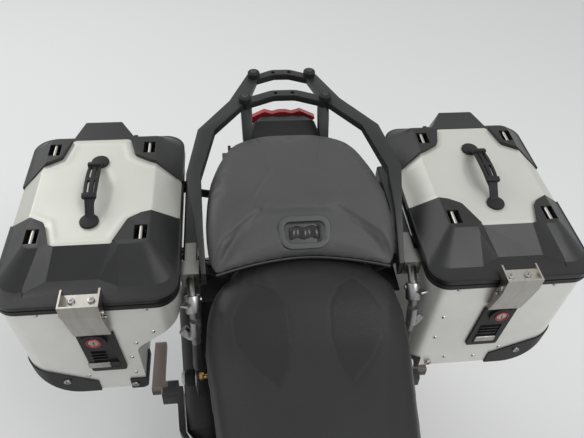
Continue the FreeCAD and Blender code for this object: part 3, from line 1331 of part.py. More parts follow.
def lid_cover():
    """Hollow cover with the front recess, the plate bed, four bar pockets and the hinge housing."""
    outer = fused([band(rim_groove, rim_low, rim_low + rim_groove), band(0, rim_low + rim_groove, rim_top), crown(0)])
    hollow = fused([band(lid_wall, case_top - 1, rim_top), crown(lid_wall)])
    hollow = hollow.common(box((rim_rear, rim_front), lid_reach, (880, plate_top - 8)))
    for piece in lid_recess():
        outer = outer.cut(piece)
        hollow = hollow.cut(piece.translated(Vector(-lid_wall, 0, -lid_wall - 3)))
    beyond = 8.0
    near_drop = (plate_top - plate_edge) / (plate_crease_in - plate_side_in) * beyond
    far_drop = (plate_top - plate_edge) / (plate_side_out - plate_crease_out) * beyond
    floor_top = plate_top - plate_sheet
    floor_edge = plate_edge - plate_sheet
    bed = slab("yz", [(plate_side_in - beyond, floor_edge - near_drop), (plate_crease_in, floor_top),
                      (plate_crease_out, floor_top), (plate_side_out + beyond, floor_edge - far_drop),
                      (plate_side_out + beyond, 1000), (plate_side_in - beyond, 1000)], -900, -600)
    room = bed.common(slab("xy", plate_outline, 900, 1000, plate_radii))
    outer = outer.cut(room)
    housing = Part.makeLoft([
        rounded([Vector(x, fitted(y), 906) for x, y in ((-898, 292), (-959, 334), (-959, 417), (-898, 442))], 4),
        rounded([Vector(x, fitted(y), 944) for x, y in ((-890, 306), (-948, 340), (-948, 412), (-890, 430))], 4)],
        True, True)
    outer = outer.cut(box((-1000, -880), lid_reach, (lid_crown - 11, 1000)))
    knuckle = across(hinge[0], hinge[1], 6.0, fitted(348), fitted(406))
    whole = outer.fuse([housing, knuckle]).cut(across(hinge[0], hinge[1], hinge_pin_radius + axle_clearance,
                                                        hinge_ears[0][0] - 14, hinge_ears[1][1] + 14))
    whole = whole.cut(hollow)
    for x, y in bar_places:
        whole = whole.cut(box((x - 16, x + 16), (y - 11, y + 11), (lid_crown - 15, 1000)))
    return whole


bar_places = [(x, fitted(side)) for x in (-629.0, -851.0) for side in (276.0, 455.0)]


def plate_skin():
    """Silver plate bent down at both sides."""
    upper = [(plate_side_in, plate_edge), (plate_crease_in, plate_top), (plate_crease_out, plate_top),
             (plate_side_out, plate_edge)]
    lower = [(y, z - plate_sheet) for y, z in reversed(upper)]
    sheet = slab("yz", upper + lower, -900, -600)
    return sheet.common(slab("xy", plate_outline, 900, 1000, plate_radii))


handle_side = fitted(366.5)
handle_front = -662.0
handle_rear = -816.0


def handle():
    """Strap grip arched between two round feet on the plate."""
    side_low, side_high = handle_side - 11, handle_side + 11
    feet = [rod((x, handle_side, plate_top), (x, handle_side, plate_top + 7), 16.5) for x in (handle_front, handle_rear)]
    arch = [(handle_front + 4, plate_top + 3), (handle_front - 22, plate_top + 22), (handle_front - 44, plate_top + 31),
            (handle_rear + 44, plate_top + 31), (handle_rear + 22, plate_top + 22), (handle_rear - 4, plate_top + 3)]
    lower = [(x, z - 8) for x, z in reversed(arch[1:-1])]
    lower = [(handle_rear + 8, plate_top + 3)] + lower + [(handle_front - 8, plate_top + 3)]
    strap = slab("xz", arch + lower, side_low, side_high)
    return fused(feet + [strap])


def lid_metal():
    """Tie-down bars in their pockets, and the latch tray on the ledge with its flap bent down over the case front."""
    bars = [rod((x - 16, y, lid_crown - 5), (x + 16, y, lid_crown - 5), 3.5) for x, y in bar_places]
    tray_low = recess_floor + seat_gap
    tray = box((rim_front - 16, rim_front + 20), (latch_inner, latch_outer), (tray_low, latch_top))
    tray = tray.cut(box((rim_front - 20, rim_front + 17), (latch_inner + 3, latch_outer - 3), (tray_low + 2, latch_top + 1)))
    front = box((rim_front + seat_gap, rim_front + 20), (latch_inner, latch_outer), (case_top + 2, tray_low + 1))
    flap = slab("xz", [(rim_front + 20, case_top + 2), (rim_front + 1, case_top + 2), (rim_front - 1, latch_foot),
                       (rim_front + 6, latch_foot), (rim_front + 16, latch_foot + 50)], latch_inner + 1, latch_outer - 1)
    return group(bars + [fused([tray, front, flap])])


for name, place in (("left", group), ("right", lambda shapes: mirrored(group(shapes)))):
    save("lid_cover_" + name, place([lid_cover()]))
    save("lid_plate_" + name, place([plate_skin()]))
    save("lid_handle_" + name, place([handle()]))
    save("lid_metal_" + name, place([lid_metal()]))

# Stands

px, pz = stand_pivot
leg_in = stand_leg_inner
leg_out = leg_in + 22.0
leg = slab("xz", [(px - 18, pz + 16), (px + 18, pz + 16), (px + 44, 34), (px + 56, 4), (px + 50, 0), (px + 8, 0),
                  (px + 10, 24)], leg_in, leg_out, [16, 16, 20, 6, 6, 6, 20])
foot = slab("xz", [(px - 4, 0), (px + 56, 0), (px + 62, 9), (px - 12, 9)], leg_in - 10, leg_out + 4, [6, 6, 4, 4])
spine = across(px + 14, pz - 62, 12.0, -leg_in - 2, leg_in + 2)
tang = tube([(px + 24, leg_out - 4, 96), (px - 20, leg_out + 8, 70), (px - 62, leg_out + 8, 62)], 6.0, 24.0)
pins = [across(px, pz, stand_pin_radius, side_low, side_high) for side_low, side_high in
        ((plate_inner - 2, leg_out + 3), (-leg_out - 3, -plate_inner + 2))]
centre_stand = fused([leg, mirrored(leg), foot, mirrored(foot), spine, tang] + pins)
save("centre_stand", centre_stand)

stand_down = 97.0
shank_side = 36.0
shank_reach = 258.0
pad_level = 34.0
eye = rod(side_axis(0), side_axis(14), 17.0)
bolt_head = rod(side_axis(14), side_axis(18), 10.0)
down = math.radians(stand_down)
shank_way = Vector(-math.cos(down), math.sin(down) * side_tilt[1], -math.sin(down) * side_tilt[0])
shank_top = Vector(*side_axis(shank_side))
shank = tube([side_axis(11), tuple(shank_top + shank_way * 70), tuple(shank_top + shank_way * shank_reach)], 10.0, 40.0)
tip = shank_top + shank_way * shank_reach
pad = slab("xy", [(tip.x - 26, tip.y - 8), (tip.x + 34, tip.y - 8), (tip.x + 34, tip.y + 30), (tip.x - 26, tip.y + 36)],
           pad_level, pad_level + 10, 9)
side_stand = fused([eye, bolt_head, shank, pad])
folded = side_stand.rotated(Vector(*side_axis(0)), Vector(0, -side_tilt[0], -side_tilt[1]), -stand_down)
save("side_stand", folded)
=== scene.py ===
import math

import bmesh
import bpy
from mathutils import Matrix, Vector


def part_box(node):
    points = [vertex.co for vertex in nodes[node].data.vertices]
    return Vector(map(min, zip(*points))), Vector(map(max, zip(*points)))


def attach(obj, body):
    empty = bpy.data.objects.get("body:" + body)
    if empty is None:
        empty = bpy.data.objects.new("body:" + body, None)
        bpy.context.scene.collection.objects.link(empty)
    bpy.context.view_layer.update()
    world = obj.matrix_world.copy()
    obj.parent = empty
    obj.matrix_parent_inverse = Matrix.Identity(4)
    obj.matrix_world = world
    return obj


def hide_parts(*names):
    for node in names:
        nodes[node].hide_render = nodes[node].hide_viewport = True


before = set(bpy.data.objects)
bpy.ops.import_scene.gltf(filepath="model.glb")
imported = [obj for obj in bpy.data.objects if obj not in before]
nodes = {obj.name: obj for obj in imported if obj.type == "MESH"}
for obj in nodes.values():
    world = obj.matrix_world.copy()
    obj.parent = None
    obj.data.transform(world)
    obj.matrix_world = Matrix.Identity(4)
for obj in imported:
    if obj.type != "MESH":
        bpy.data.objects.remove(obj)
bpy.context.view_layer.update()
scene = bpy.context.scene
scene.view_settings.view_transform = "Standard"

# The studio: a pale floor that meets the background, two large soft lamps and a plain pale world.
# The world shows its own paler tone to the camera and in gloss and glass.
floor_mesh = bpy.data.meshes.new("floor")
floor_form = bmesh.new()
bmesh.ops.create_grid(floor_form, x_segments=1, y_segments=1, size=9.0)
floor_form.to_mesh(floor_mesh)
floor_form.free()
floor = bpy.data.objects.new("floor", floor_mesh)
scene.collection.objects.link(floor)
floor_paint = bpy.data.materials.new("pale_floor")
floor_paint.use_nodes = True
floor_shader = floor_paint.node_tree.nodes["Principled BSDF"]
floor_shader.inputs["Base Color"].default_value = (0.74, 0.74, 0.725, 1)
floor_shader.inputs["Roughness"].default_value = 0.75
floor_mesh.materials.append(floor_paint)


def reckoned(tree, operation, *terms):
    """Output of a math node. Each of its terms is a socket or a number."""
    node = tree.nodes.new("ShaderNodeMath")
    node.operation = operation
    for slot, term in zip(node.inputs, terms):
        if isinstance(term, bpy.types.NodeSocket):
            tree.links.new(term, slot)
        else:
            slot.default_value = term
    return node.outputs[0]


world = bpy.data.worlds.new("studio")
scene.world = world
world.use_nodes = True
sky = world.node_tree
sky.nodes.clear()
sky_out = sky.nodes.new("ShaderNodeOutputWorld")
sky_light = sky.nodes.new("ShaderNodeBackground")
sky_light.inputs["Color"].default_value = (0.95, 0.97, 1.0, 1)
sky_light.inputs["Strength"].default_value = 0.62
sky_seen = sky.nodes.new("ShaderNodeBackground")
sky_seen.inputs["Color"].default_value = (0.9, 0.905, 0.9, 1)
sky_seen.inputs["Strength"].default_value = 0.92
sky_rays = sky.nodes.new("ShaderNodeLightPath").outputs
seen_or_glossy = reckoned(sky, "MAXIMUM", sky_rays["Is Camera Ray"], sky_rays["Is Glossy Ray"])
sky_mix = sky.nodes.new("ShaderNodeMixShader")
sky.links.new(reckoned(sky, "MAXIMUM", seen_or_glossy, sky_rays["Is Transmission Ray"]), sky_mix.inputs["Fac"])
sky.links.new(sky_light.outputs[0], sky_mix.inputs[1])
sky.links.new(sky_seen.outputs[0], sky_mix.inputs[2])
sky.links.new(sky_mix.outputs[0], sky_out.inputs["Surface"])

for lamp_name, place, target, size, watts in (
    ("key", (0.9, 1.7, 4.2), (-0.5, 0, 0.8), 2.4, 78),
    ("fill", (-2.8, -2.6, 3.2), (-0.4, 0, 0.7), 2.6, 52),
):
    lamp = bpy.data.lights.new(lamp_name, "AREA")
    lamp.shape = "DISK"
    lamp.size = size
    lamp.energy = watts
    holder = bpy.data.objects.new(lamp_name, lamp)
    holder.location = place
    holder.rotation_mode = "QUATERNION"
    holder.rotation_quaternion = (Vector(target) - Vector(place)).to_track_quat("-Z", "Y")
    scene.collection.objects.link(holder)

# The camera stands above the tank and looks down and back over the seats, as in the photograph. Its place, turn and
# focal length, in pixels of the photograph, were fitted to the two cases.
photo_width = 584
focal_pixels = 565.43
camera_right = Vector((0.10052, 0.99409, 0.04090))
camera_up = Vector((-0.73204, 0.04605, 0.67970))
camera_back = Vector((0.67381, -0.09827, 0.73235))
camera_data = bpy.data.cameras.new("camera")
camera_data.sensor_width = 36.0
camera_data.lens = focal_pixels / photo_width * 36.0
camera = bpy.data.objects.new("camera", camera_data)
scene.collection.objects.link(camera)
stance = Matrix((camera_right, camera_up, camera_back)).transposed().to_4x4()
stance.translation = Vector((0.028, -0.1135, 1.6826))
camera.matrix_world = stance
scene.camera = camera


# Frame and stands: welded steel tube and plate under a satin black powder coat. Two shared groups feed its finish and
# the others: one mottles colour and gloss in patches, as handling and dust do, and one lifts the fine grain of
# moulded and cast skin.
def open_group(name, inputs, outputs):
    """Shader node group with its named sockets, and its input and output nodes."""
    tree = bpy.data.node_groups.new(name, "ShaderNodeTree")
    for label, kind, value in inputs:
        socket = tree.interface.new_socket(label, in_out="INPUT", socket_type="NodeSocket" + kind)
        if value is not None:
            socket.default_value = value
    for label, kind in outputs:
        tree.interface.new_socket(label, in_out="OUTPUT", socket_type="NodeSocket" + kind)
    return tree, tree.nodes.new("NodeGroupInput"), tree.nodes.new("NodeGroupOutput")


def noise(tree, vector, scale, detail=3.0, rough=0.5):
    """Noise texture node on a vector."""
    field = tree.nodes.new("ShaderNodeTexNoise")
    field.inputs["Scale"].default_value = scale
    field.inputs["Detail"].default_value = detail
    field.inputs["Roughness"].default_value = rough
    tree.links.new(vector, field.inputs["Vector"])
    return field


def mixed(tree, kind, factor, first, second):
    """Output of a mix node. Each of its ends is a socket or a value."""
    node = tree.nodes.new("ShaderNodeMix")
    node.data_type = kind
    tree.links.new(factor, node.inputs["Factor"])
    for label, end in (("A", first), ("B", second)):
        if isinstance(end, bpy.types.NodeSocket):
            tree.links.new(end, node.inputs[label])
        else:
            node.inputs[label].default_value = end
    return node.outputs["Result"]


mottle_group, mottle_in, mottle_out = open_group(
    "mottle",
    [("Vector", "Vector", None), ("Scale", "Float", 6.0), ("Clean", "Color", (0.5, 0.5, 0.5, 1)),
     ("Worn", "Color", (0.4, 0.4, 0.4, 1)), ("Smooth", "Float", 0.4), ("Rough", "Float", 0.5)],
    [("Color", "Color"), ("Roughness", "Float")])
patches = noise(mottle_group, mottle_in.outputs["Vector"], 6.0, 5.0, 0.6)
mottle_group.links.new(mottle_in.outputs["Scale"], patches.inputs["Scale"])
patch_edge = mottle_group.nodes.new("ShaderNodeMapRange")
patch_edge.inputs["From Min"].default_value = 0.35
patch_edge.inputs["From Max"].default_value = 0.68
mottle_group.links.new(patches.outputs["Fac"], patch_edge.inputs["Value"])
patch_colour = mixed(mottle_group, "RGBA", patch_edge.outputs["Result"], mottle_in.outputs["Clean"],
                     mottle_in.outputs["Worn"])
patch_rough = mottle_group.nodes.new("ShaderNodeMapRange")
mottle_group.links.new(patch_edge.outputs["Result"], patch_rough.inputs["Value"])
mottle_group.links.new(mottle_in.outputs["Smooth"], patch_rough.inputs["To Min"])
mottle_group.links.new(mottle_in.outputs["Rough"], patch_rough.inputs["To Max"])
mottle_group.links.new(patch_colour, mottle_out.inputs["Color"])
mottle_group.links.new(patch_rough.outputs["Result"], mottle_out.inputs["Roughness"])

grain_group, grain_in, grain_out = open_group(
    "grain",
    [("Vector", "Vector", None), ("Scale", "Float", 800.0), ("Strength", "Float", 0.2)],
    [("Normal", "Vector")])
grain_cells = grain_group.nodes.new("ShaderNodeTexVoronoi")
grain_cells.feature = "SMOOTH_F1"
grain_group.links.new(grain_in.outputs["Vector"], grain_cells.inputs["Vector"])
grain_group.links.new(grain_in.outputs["Scale"], grain_cells.inputs["Scale"])
grain_bump = grain_group.nodes.new("ShaderNodeBump")
grain_bump.inputs["Distance"].default_value = 0.0006
grain_group.links.new(grain_in.outputs["Strength"], grain_bump.inputs["Strength"])
grain_group.links.new(grain_cells.outputs["Distance"], grain_bump.inputs["Height"])
grain_group.links.new(grain_bump.outputs["Normal"], grain_out.inputs["Normal"])


def surface(name, clean, worn, smooth, rough, metal=0.0, patch=6.0, grain=0.0, grain_scale=800.0, coat=0.0,
            specular=0.5, stretch=(1, 1, 1)):
    """Opaque finish with patchy colour and gloss, and a grain where its strength is above 0."""
    skin = bpy.data.materials.new(name)
    skin.use_nodes = True
    tree = skin.node_tree
    shader = tree.nodes["Principled BSDF"]
    shader.inputs["Metallic"].default_value = metal
    shader.inputs["Coat Weight"].default_value = coat
    shader.inputs["Specular IOR Level"].default_value = specular
    place = tree.nodes.new("ShaderNodeTexCoord")
    stretched = tree.nodes.new("ShaderNodeMapping")
    stretched.inputs["Scale"].default_value = stretch
    tree.links.new(place.outputs["Object"], stretched.inputs["Vector"])
    patchy = tree.nodes.new("ShaderNodeGroup")
    patchy.node_tree = mottle_group
    patchy.inputs["Scale"].default_value = patch
    patchy.inputs["Clean"].default_value = (*clean, 1)
    patchy.inputs["Worn"].default_value = (*worn, 1)
    patchy.inputs["Smooth"].default_value = smooth
    patchy.inputs["Rough"].default_value = rough
    tree.links.new(stretched.outputs["Vector"], patchy.inputs["Vector"])
    tree.links.new(patchy.outputs["Color"], shader.inputs["Base Color"])
    tree.links.new(patchy.outputs["Roughness"], shader.inputs["Roughness"])
    if grain:
        lifted = tree.nodes.new("ShaderNodeGroup")
        lifted.node_tree = grain_group
        lifted.inputs["Scale"].default_value = grain_scale
        lifted.inputs["Strength"].default_value = grain
        tree.links.new(stretched.outputs["Vector"], lifted.inputs["Vector"])
        tree.links.new(lifted.outputs["Normal"], shader.inputs["Normal"])
    return skin


def grey(level, blue=0.0):
    """Grey of a level, cooled by a share of blue."""
    return (level, level * (1 + blue * 0.5), level * (1 + blue))


def clad(material, *names):
    """One finish on the CAD nodes of those names."""
    for name in names:
        mesh = nodes[name].data
        mesh.materials.clear()
        mesh.materials.append(material)


powder_coat = surface("powder_coat", grey(0.022), grey(0.03), 0.42, 0.52, grain=0.15, grain_scale=1500, specular=0.3)
clad(powder_coat, "main_frame", "subframe", "centre_stand", "side_stand")


# Engine: block and sump guard are castings, with darker machined covers held by a ring of small socket screws.
# The radiator's fins are pressed sheet between two tanks. All new pieces are modelled in millimetres.
def crisp(mesh, angle):
    """Smooth shading, with the edges over an angle kept sharp."""
    mesh.polygons.foreach_set("use_smooth", [True] * len(mesh.polygons))
    mesh.set_sharp_from_angle(angle=math.radians(angle))


def placed(name, form, finishes, body, stands_for, angle):
    """The form as a piece on its body, with its finishes, in place of the nodes it stands for."""
    mesh = bpy.data.meshes.new(name)
    form.to_mesh(mesh)
    form.free()
    crisp(mesh, angle)
    for finish in finishes:
        mesh.materials.append(finish)
    item = bpy.data.objects.new(name, mesh)
    scene.collection.objects.link(item)
    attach(item, body)
    if stands_for:
        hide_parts(*stands_for)
    return item


def finished(name, form, finish, body, stands_for=(), angle=32.0, turn_out=True):
    """Piece made of mesh work in millimetres, merged and turned outwards first."""
    if turn_out:
        bmesh.ops.remove_doubles(form, verts=form.verts, dist=0.005)
        bmesh.ops.recalc_face_normals(form, faces=form.faces)
    bmesh.ops.scale(form, vec=(0.001, 0.001, 0.001), verts=form.verts)
    return placed(name, form, finish if isinstance(finish, list) else [finish], body, stands_for, angle)


def facing(place, direction, size=(1, 1, 1)):
    """Matrix that puts a form's Z axis along a direction at a place."""
    turn = Vector(direction).to_track_quat("Z", "Y").to_matrix().to_4x4()
    return Matrix.Translation(Vector(place)) @ turn @ Matrix.Diagonal((*size, 1))


def rounded(form, geom, radius, segments, affect="EDGES", clamp=False):
    """Edges or corners rounded by a radius."""
    bmesh.ops.bevel(form, geom=geom, offset=radius, offset_type="OFFSET", segments=segments, profile=0.5,
                    affect=affect, clamp_overlap=clamp, material=-1)


def pulled(form, faces, offset):
    """Faces drawn out by a wall. Returns them at their new place."""
    grown = bmesh.ops.extrude_face_region(form, geom=faces)["geom"]
    bmesh.ops.translate(form, vec=offset, verts=[item for item in grown if isinstance(item, bmesh.types.BMVert)])
    return [item for item in grown if isinstance(item, bmesh.types.BMFace)]


def screw(form, place, direction, radius, height, socket=0.5):
    """Screw head with a rounded rim and a socket sunk in its middle."""
    sides = 16
    place, aim = Vector(place), Vector(direction).normalized()
    head = bmesh.ops.create_cone(form, cap_ends=True, segments=sides, radius1=radius, radius2=radius, depth=height,
                                 matrix=facing(place + aim * height / 2, direction))
    faces = {face for vert in head["verts"] for face in vert.link_faces}
    top = max(faces, key=lambda face: face.calc_center_median().dot(aim))
    rounded(form, list(top.edges), min(radius, height) * 0.35, 2)
    face = next(face for face in form.faces if len(face.verts) == sides
                and (face.calc_center_median() - place).dot(aim) > height * 0.9
                and (face.calc_center_median() - place).length < radius + height)
    bmesh.ops.inset_region(form, faces=[face], thickness=radius * (1 - socket) * 0.75, depth=0)
    pulled(form, [face], -aim * height * 0.6)
    bmesh.ops.delete(form, geom=[face], context="FACES_ONLY")


cast_alloy = surface("cast_alloy", grey(0.16), grey(0.11), 0.42, 0.58, metal=0.75, patch=14, grain=0.3,
                     grain_scale=700)
dark_alloy = surface("dark_alloy", grey(0.075), grey(0.055), 0.4, 0.52, metal=0.55, patch=12, grain=0.2,
                     grain_scale=900)
screw_zinc = surface("screw_zinc", grey(0.42), grey(0.3), 0.26, 0.4, metal=1.0, patch=60)
moulded_black = surface("moulded_black", grey(0.009, 0.06), grey(0.013, 0.06), 0.42, 0.55, grain=0.35,
                        grain_scale=1200, specular=0.3)
clad(cast_alloy, "engine", "sump_guard")
clad(dark_alloy, "engine_covers")
clad(moulded_black, "radiator")
cover_face = 117
cover_screws = bmesh.new()
for side, x, z, ring_radius, count in ((1, 95, 385, 76, 9), (-1, 20, 400, 86, 10), (-1, 168, 330, 38, 6)):
    for i in range(count):
        angle = (i + 0.5) * 2 * math.pi / count
        spot = (x + ring_radius * math.cos(angle), side * cover_face, z + ring_radius * math.sin(angle))
        screw(cover_screws, spot, (0, side, 0), 4.6, 3.4)
finished("engine_cover_screws", cover_screws, screw_zinc, "chassis")

# Exhaust: stainless header pipes that heat has browned, and a silencer sleeve under a satin black heat coat.
# The pipes are clamped in the engine's ports.
header_steel = surface("header_steel", (0.42, 0.36, 0.3), (0.3, 0.24, 0.2), 0.26, 0.4, metal=1.0, patch=10)
heat_coat = surface("heat_coat", grey(0.012), grey(0.018), 0.42, 0.5, patch=8, grain=0.12, grain_scale=1500,
                    specular=0.3)
clad(header_steel, "exhaust_pipes")
clad(heat_coat, "silencer")

# Swingarm and shock: a cast arm on the frame's pivot, a ground axle with the caliper beside it, and a coil spring
# over its damper.
bright_steel = surface("bright_steel", grey(0.55), grey(0.42), 0.2, 0.34, metal=1.0, patch=22, stretch=(1, 3, 1))
clad(cast_alloy, "swingarm")
clad(dark_alloy, "rear_caliper")
clad(bright_steel, "rear_axle", "rear_shock")

# Wheels: each tyre is a carcass of smooth rubber with tread blocks in rows round it. The front one is narrow and
# tall, the rear one wide. Rims are cast, discs ground, and the chain and its sprocket rolled steel.
tyre_rubber = surface("tyre_rubber", grey(0.015), grey(0.024), 0.68, 0.82, patch=9, grain=0.3, grain_scale=600,
                      specular=0.3)
ground_disc = surface("ground_disc", grey(0.5), grey(0.42), 0.26, 0.36, metal=1.0, patch=40)
chain_link = surface("chain_link", (0.30, 0.25, 0.16), (0.2, 0.17, 0.12), 0.3, 0.45, metal=1.0, patch=60)
clad(dark_alloy, "front_rim", "rear_rim")
clad(ground_disc, "front_discs", "rear_disc")
clad(chain_link, "chain", "rear_sprocket")

groove = 6.0
block_sunk = 4.6
block_height = 8.2
# Place across the tread as a share of its half width, length as a share of the pitch, width as a share of the half
# width, tilt in degrees and shift round the tyre as a share of the pitch.
tread_rows = [(0.13, 0.72, 0.2, 18, 0.0), (-0.13, 0.72, 0.2, -18, 0.5), (0.44, 0.7, 0.27, -12, 0.3),
              (-0.44, 0.7, 0.27, 12, 0.8), (0.76, 0.62, 0.24, 8, 0.1), (-0.76, 0.62, 0.24, -8, 0.6)]
for wheel, radius, half, bead, bead_half, count in (
    ("front", 325.0, 60.0, 242.0, 39.0, 58),
    ("rear", 318.0, 85.0, 216.6, 57.0, 54),
):
    low, high = (corner * 1000 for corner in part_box(wheel + "_tyre"))
    x, z = (low.x + high.x) / 2, (low.z + high.z) / 2
    crown = [(radius - groove, 0), (radius - groove, half * 0.36), (radius - 9 - groove, half * 0.62),
             (radius - 18 - groove * 0.6, half * 0.82), (radius - 34, half * 0.955), (radius - 48, half * 0.985),
             (radius - 62, half * 0.93), (bead + 8, bead_half + 2), (bead + 1, bead_half), (bead + 1, bead_half - 7)]
    profile = crown + [(r, -y) for r, y in reversed(crown[1:])]
    carcass = bmesh.new()
    points = [carcass.verts.new((x, y, z + r)) for r, y in profile]
    lines = [carcass.edges.new(pair) for pair in zip(points, points[1:])]
    bmesh.ops.spin(carcass, geom=points + lines, cent=(x, 0, z), axis=(0, 1, 0), angle=2 * math.pi, steps=120,
                   use_merge=True)
    pitch = 2 * math.pi * radius / count
    for i in range(count):
        for across, long, wide, tilt, shift in tread_rows:
            y = half * across
            share = abs(y) / half
            drop = 0 if share < 0.3 else 5.5 if share < 0.6 else 17.0
            lean = 0 if share < 0.3 else math.copysign(17 if share < 0.6 else 36, y)
            angle = (i + shift) * 2 * math.pi / count
            spot = (Matrix.Translation((x, 0, z)) @ Matrix.Rotation(angle, 4, "Y")
                    @ Matrix.Translation((0, y, radius - drop - block_sunk))
                    @ Matrix.Rotation(math.radians(-lean), 4, "X") @ Matrix.Rotation(math.radians(tilt), 4, "Z")
                    @ Matrix.Diagonal((pitch * long, half * wide, block_height, 1)))
            bmesh.ops.create_cube(carcass, size=1.0, matrix=spot)
    finished(wheel + "_tyre_tread", carcass, tyre_rubber, wheel + "_wheel", [wheel + "_tyre"], 28)

# Steering: cast fork legs and clamps, a bar with rubber grips, and fine textured guards, controls and mirrors.
# The grips are glued on and the rest is clamped.
rubber = surface("rubber", grey(0.009), grey(0.013), 0.55, 0.7, grain=0.25, grain_scale=900, specular=0.3)
clad(cast_alloy, "fork_legs")
clad(dark_alloy, "fork_clamps", "front_calipers", "handlebar")
clad(bright_steel, "front_axle")
clad(moulded_black, "hand_controls", "hand_guards", "mirrors")
clad(rubber, "grips")

# Tank, cowl, beak, side panels and front mudguard are painted in one deep red under clear lacquer. The dash in the
# cowl is a black moulding.
red_paint = surface("red_paint", (0.26, 0.012, 0.012), (0.24, 0.01, 0.011), 0.22, 0.3, patch=3, coat=0.7)
clad(red_paint, "fuel_tank", "front_cowl", "side_panels", "front_mudguard")
clad(moulded_black, "dash")


# Screen and headlight lens are clear mouldings with a faint smoke tint. The screen is screwed to the cowl, and the
# lens is glued in it.
def clear(name, tint, rough):
    """Clear moulding with a faint haze in its tint."""
    pane = bpy.data.materials.new(name)
    pane.use_nodes = True
    tree = pane.node_tree
    shader = tree.nodes["Principled BSDF"]
    shader.inputs["Transmission Weight"].default_value = 0.9
    shader.inputs["IOR"].default_value = 1.1
    shader.inputs["Roughness"].default_value = rough
    place = tree.nodes.new("ShaderNodeTexCoord")
    haze = noise(tree, place.outputs["Object"], 12.0)
    hazed = mixed(tree, "RGBA", haze.outputs["Fac"], (*tint, 1), (*[c * 0.92 for c in tint], 1))
    tree.links.new(hazed, shader.inputs["Base Color"])
    return pane


clad(clear("smoke_screen", (0.7, 0.72, 0.74), 0.04), "windscreen")
clad(clear("lamp_lens", (0.8, 0.82, 0.85), 0.08), "headlight")


# Tail: a faceted black moulding over the end of the subframe. Its lamp has a red lens, and the indicators on their
# stalks have smoked ones.
def changed_where(skin, limits, colour, metal=None, rough=None):
    """Other colour, metal and gloss where a finish is past every limit, in metres. Y counts both ways."""
    tree = skin.node_tree
    shader = tree.nodes["Principled BSDF"]
    place = tree.nodes.new("ShaderNodeTexCoord")
    axes = tree.nodes.new("ShaderNodeSeparateXYZ")
    tree.links.new(place.outputs["Object"], axes.inputs["Vector"])
    mask = 1.0
    for axis, side, limit in limits:
        reach = axes.outputs[axis]
        if axis == "Y":
            reach = reckoned(tree, "ABSOLUTE", reach)
        past = reckoned(tree, "GREATER_THAN" if side == "over" else "LESS_THAN", reach, limit)
        mask = reckoned(tree, "MULTIPLY", mask, past)
    for label, kind, there in (("Base Color", "RGBA", (*colour, 1)), ("Metallic", "FLOAT", metal),
                               ("Roughness", "FLOAT", rough)):
        if there is not None:
            socket = shader.inputs[label]
            here = socket.links[0].from_socket if socket.links else socket.default_value
            tree.links.new(mixed(tree, kind, mask, here, there), socket)


red_lens = surface("red_lens", (0.42, 0.012, 0.02), (0.34, 0.01, 0.016), 0.12, 0.2, patch=20, coat=0.6)
changed_where(red_lens, [("Y", "over", 0.1)], (0.03, 0.022, 0.02))
clad(moulded_black, "tail_unit")
clad(red_lens, "signal_lamps")


# Seats: foam on a moulded base under a grained vinyl cover. The passenger's has a scooped front with a rolled lip,
# and a lock in a bezel. The rider's has two smooth drop-shaped panels let in at its back.
def drawn(places, at):
    """Value at a place on a smooth line through a table of places and values."""
    if at <= places[0][0]:
        return places[0][1]
    for i in range(len(places) - 1):
        (near, low), (far, high) = places[i], places[i + 1]
        if at <= far:
            before = places[max(i - 1, 0)]
            after = places[min(i + 2, len(places) - 1)]
            share = (at - near) / (far - near)
            rise_in = (high - before[1]) / (far - before[0]) * (far - near)
            rise_out = (after[1] - low) / (after[0] - near) * (far - near)
            return ((2 * share ** 3 - 3 * share ** 2 + 1) * low + (share ** 3 - 2 * share ** 2 + share) * rise_in
                    + (3 * share ** 2 - 2 * share ** 3) * high + (share ** 3 - share ** 2) * rise_out)
    return places[-1][1]


def ease(low, high, at):
    """Smooth step from 0 at one place to 1 at another."""
    share = min(max((at - low) / (high - low), 0.0), 1.0)
    return share * share * (3 - 2 * share)


def rounded_off(distance, radius):
    """Drop of a rounded edge at a distance inside it."""
    inside_edge = min(max(distance, 0.0), radius)
    return radius - math.sqrt(radius ** 2 - (radius - inside_edge) ** 2)


def pad_form(place, top, base, columns, rows):
    """Closed pad: a grid laid over the plan and raised to its crown, with walls down to a level base."""
    form = bmesh.new()
    bmesh.ops.create_grid(form, x_segments=columns, y_segments=rows, size=1.0)
    crown = bmesh.ops.extrude_face_region(form, geom=form.faces[:])
    upper = {item for item in crown["geom"] if isinstance(item, bmesh.types.BMVert)}
    for vert in form.verts:
        across, along = vert.co.x, (vert.co.y + 1) / 2
        x, y = place(across, along)
        vert.co = (x, y, top(x, y, across, along) if vert in upper else base(x, y))
    return form


def settled(item):
    """The item's mesh, with its modifiers worked into it."""
    shaped = bpy.data.meshes.new_from_object(item.evaluated_get(bpy.context.evaluated_depsgraph_get()))
    item.modifiers.clear()
    item.data = shaped
    return shaped


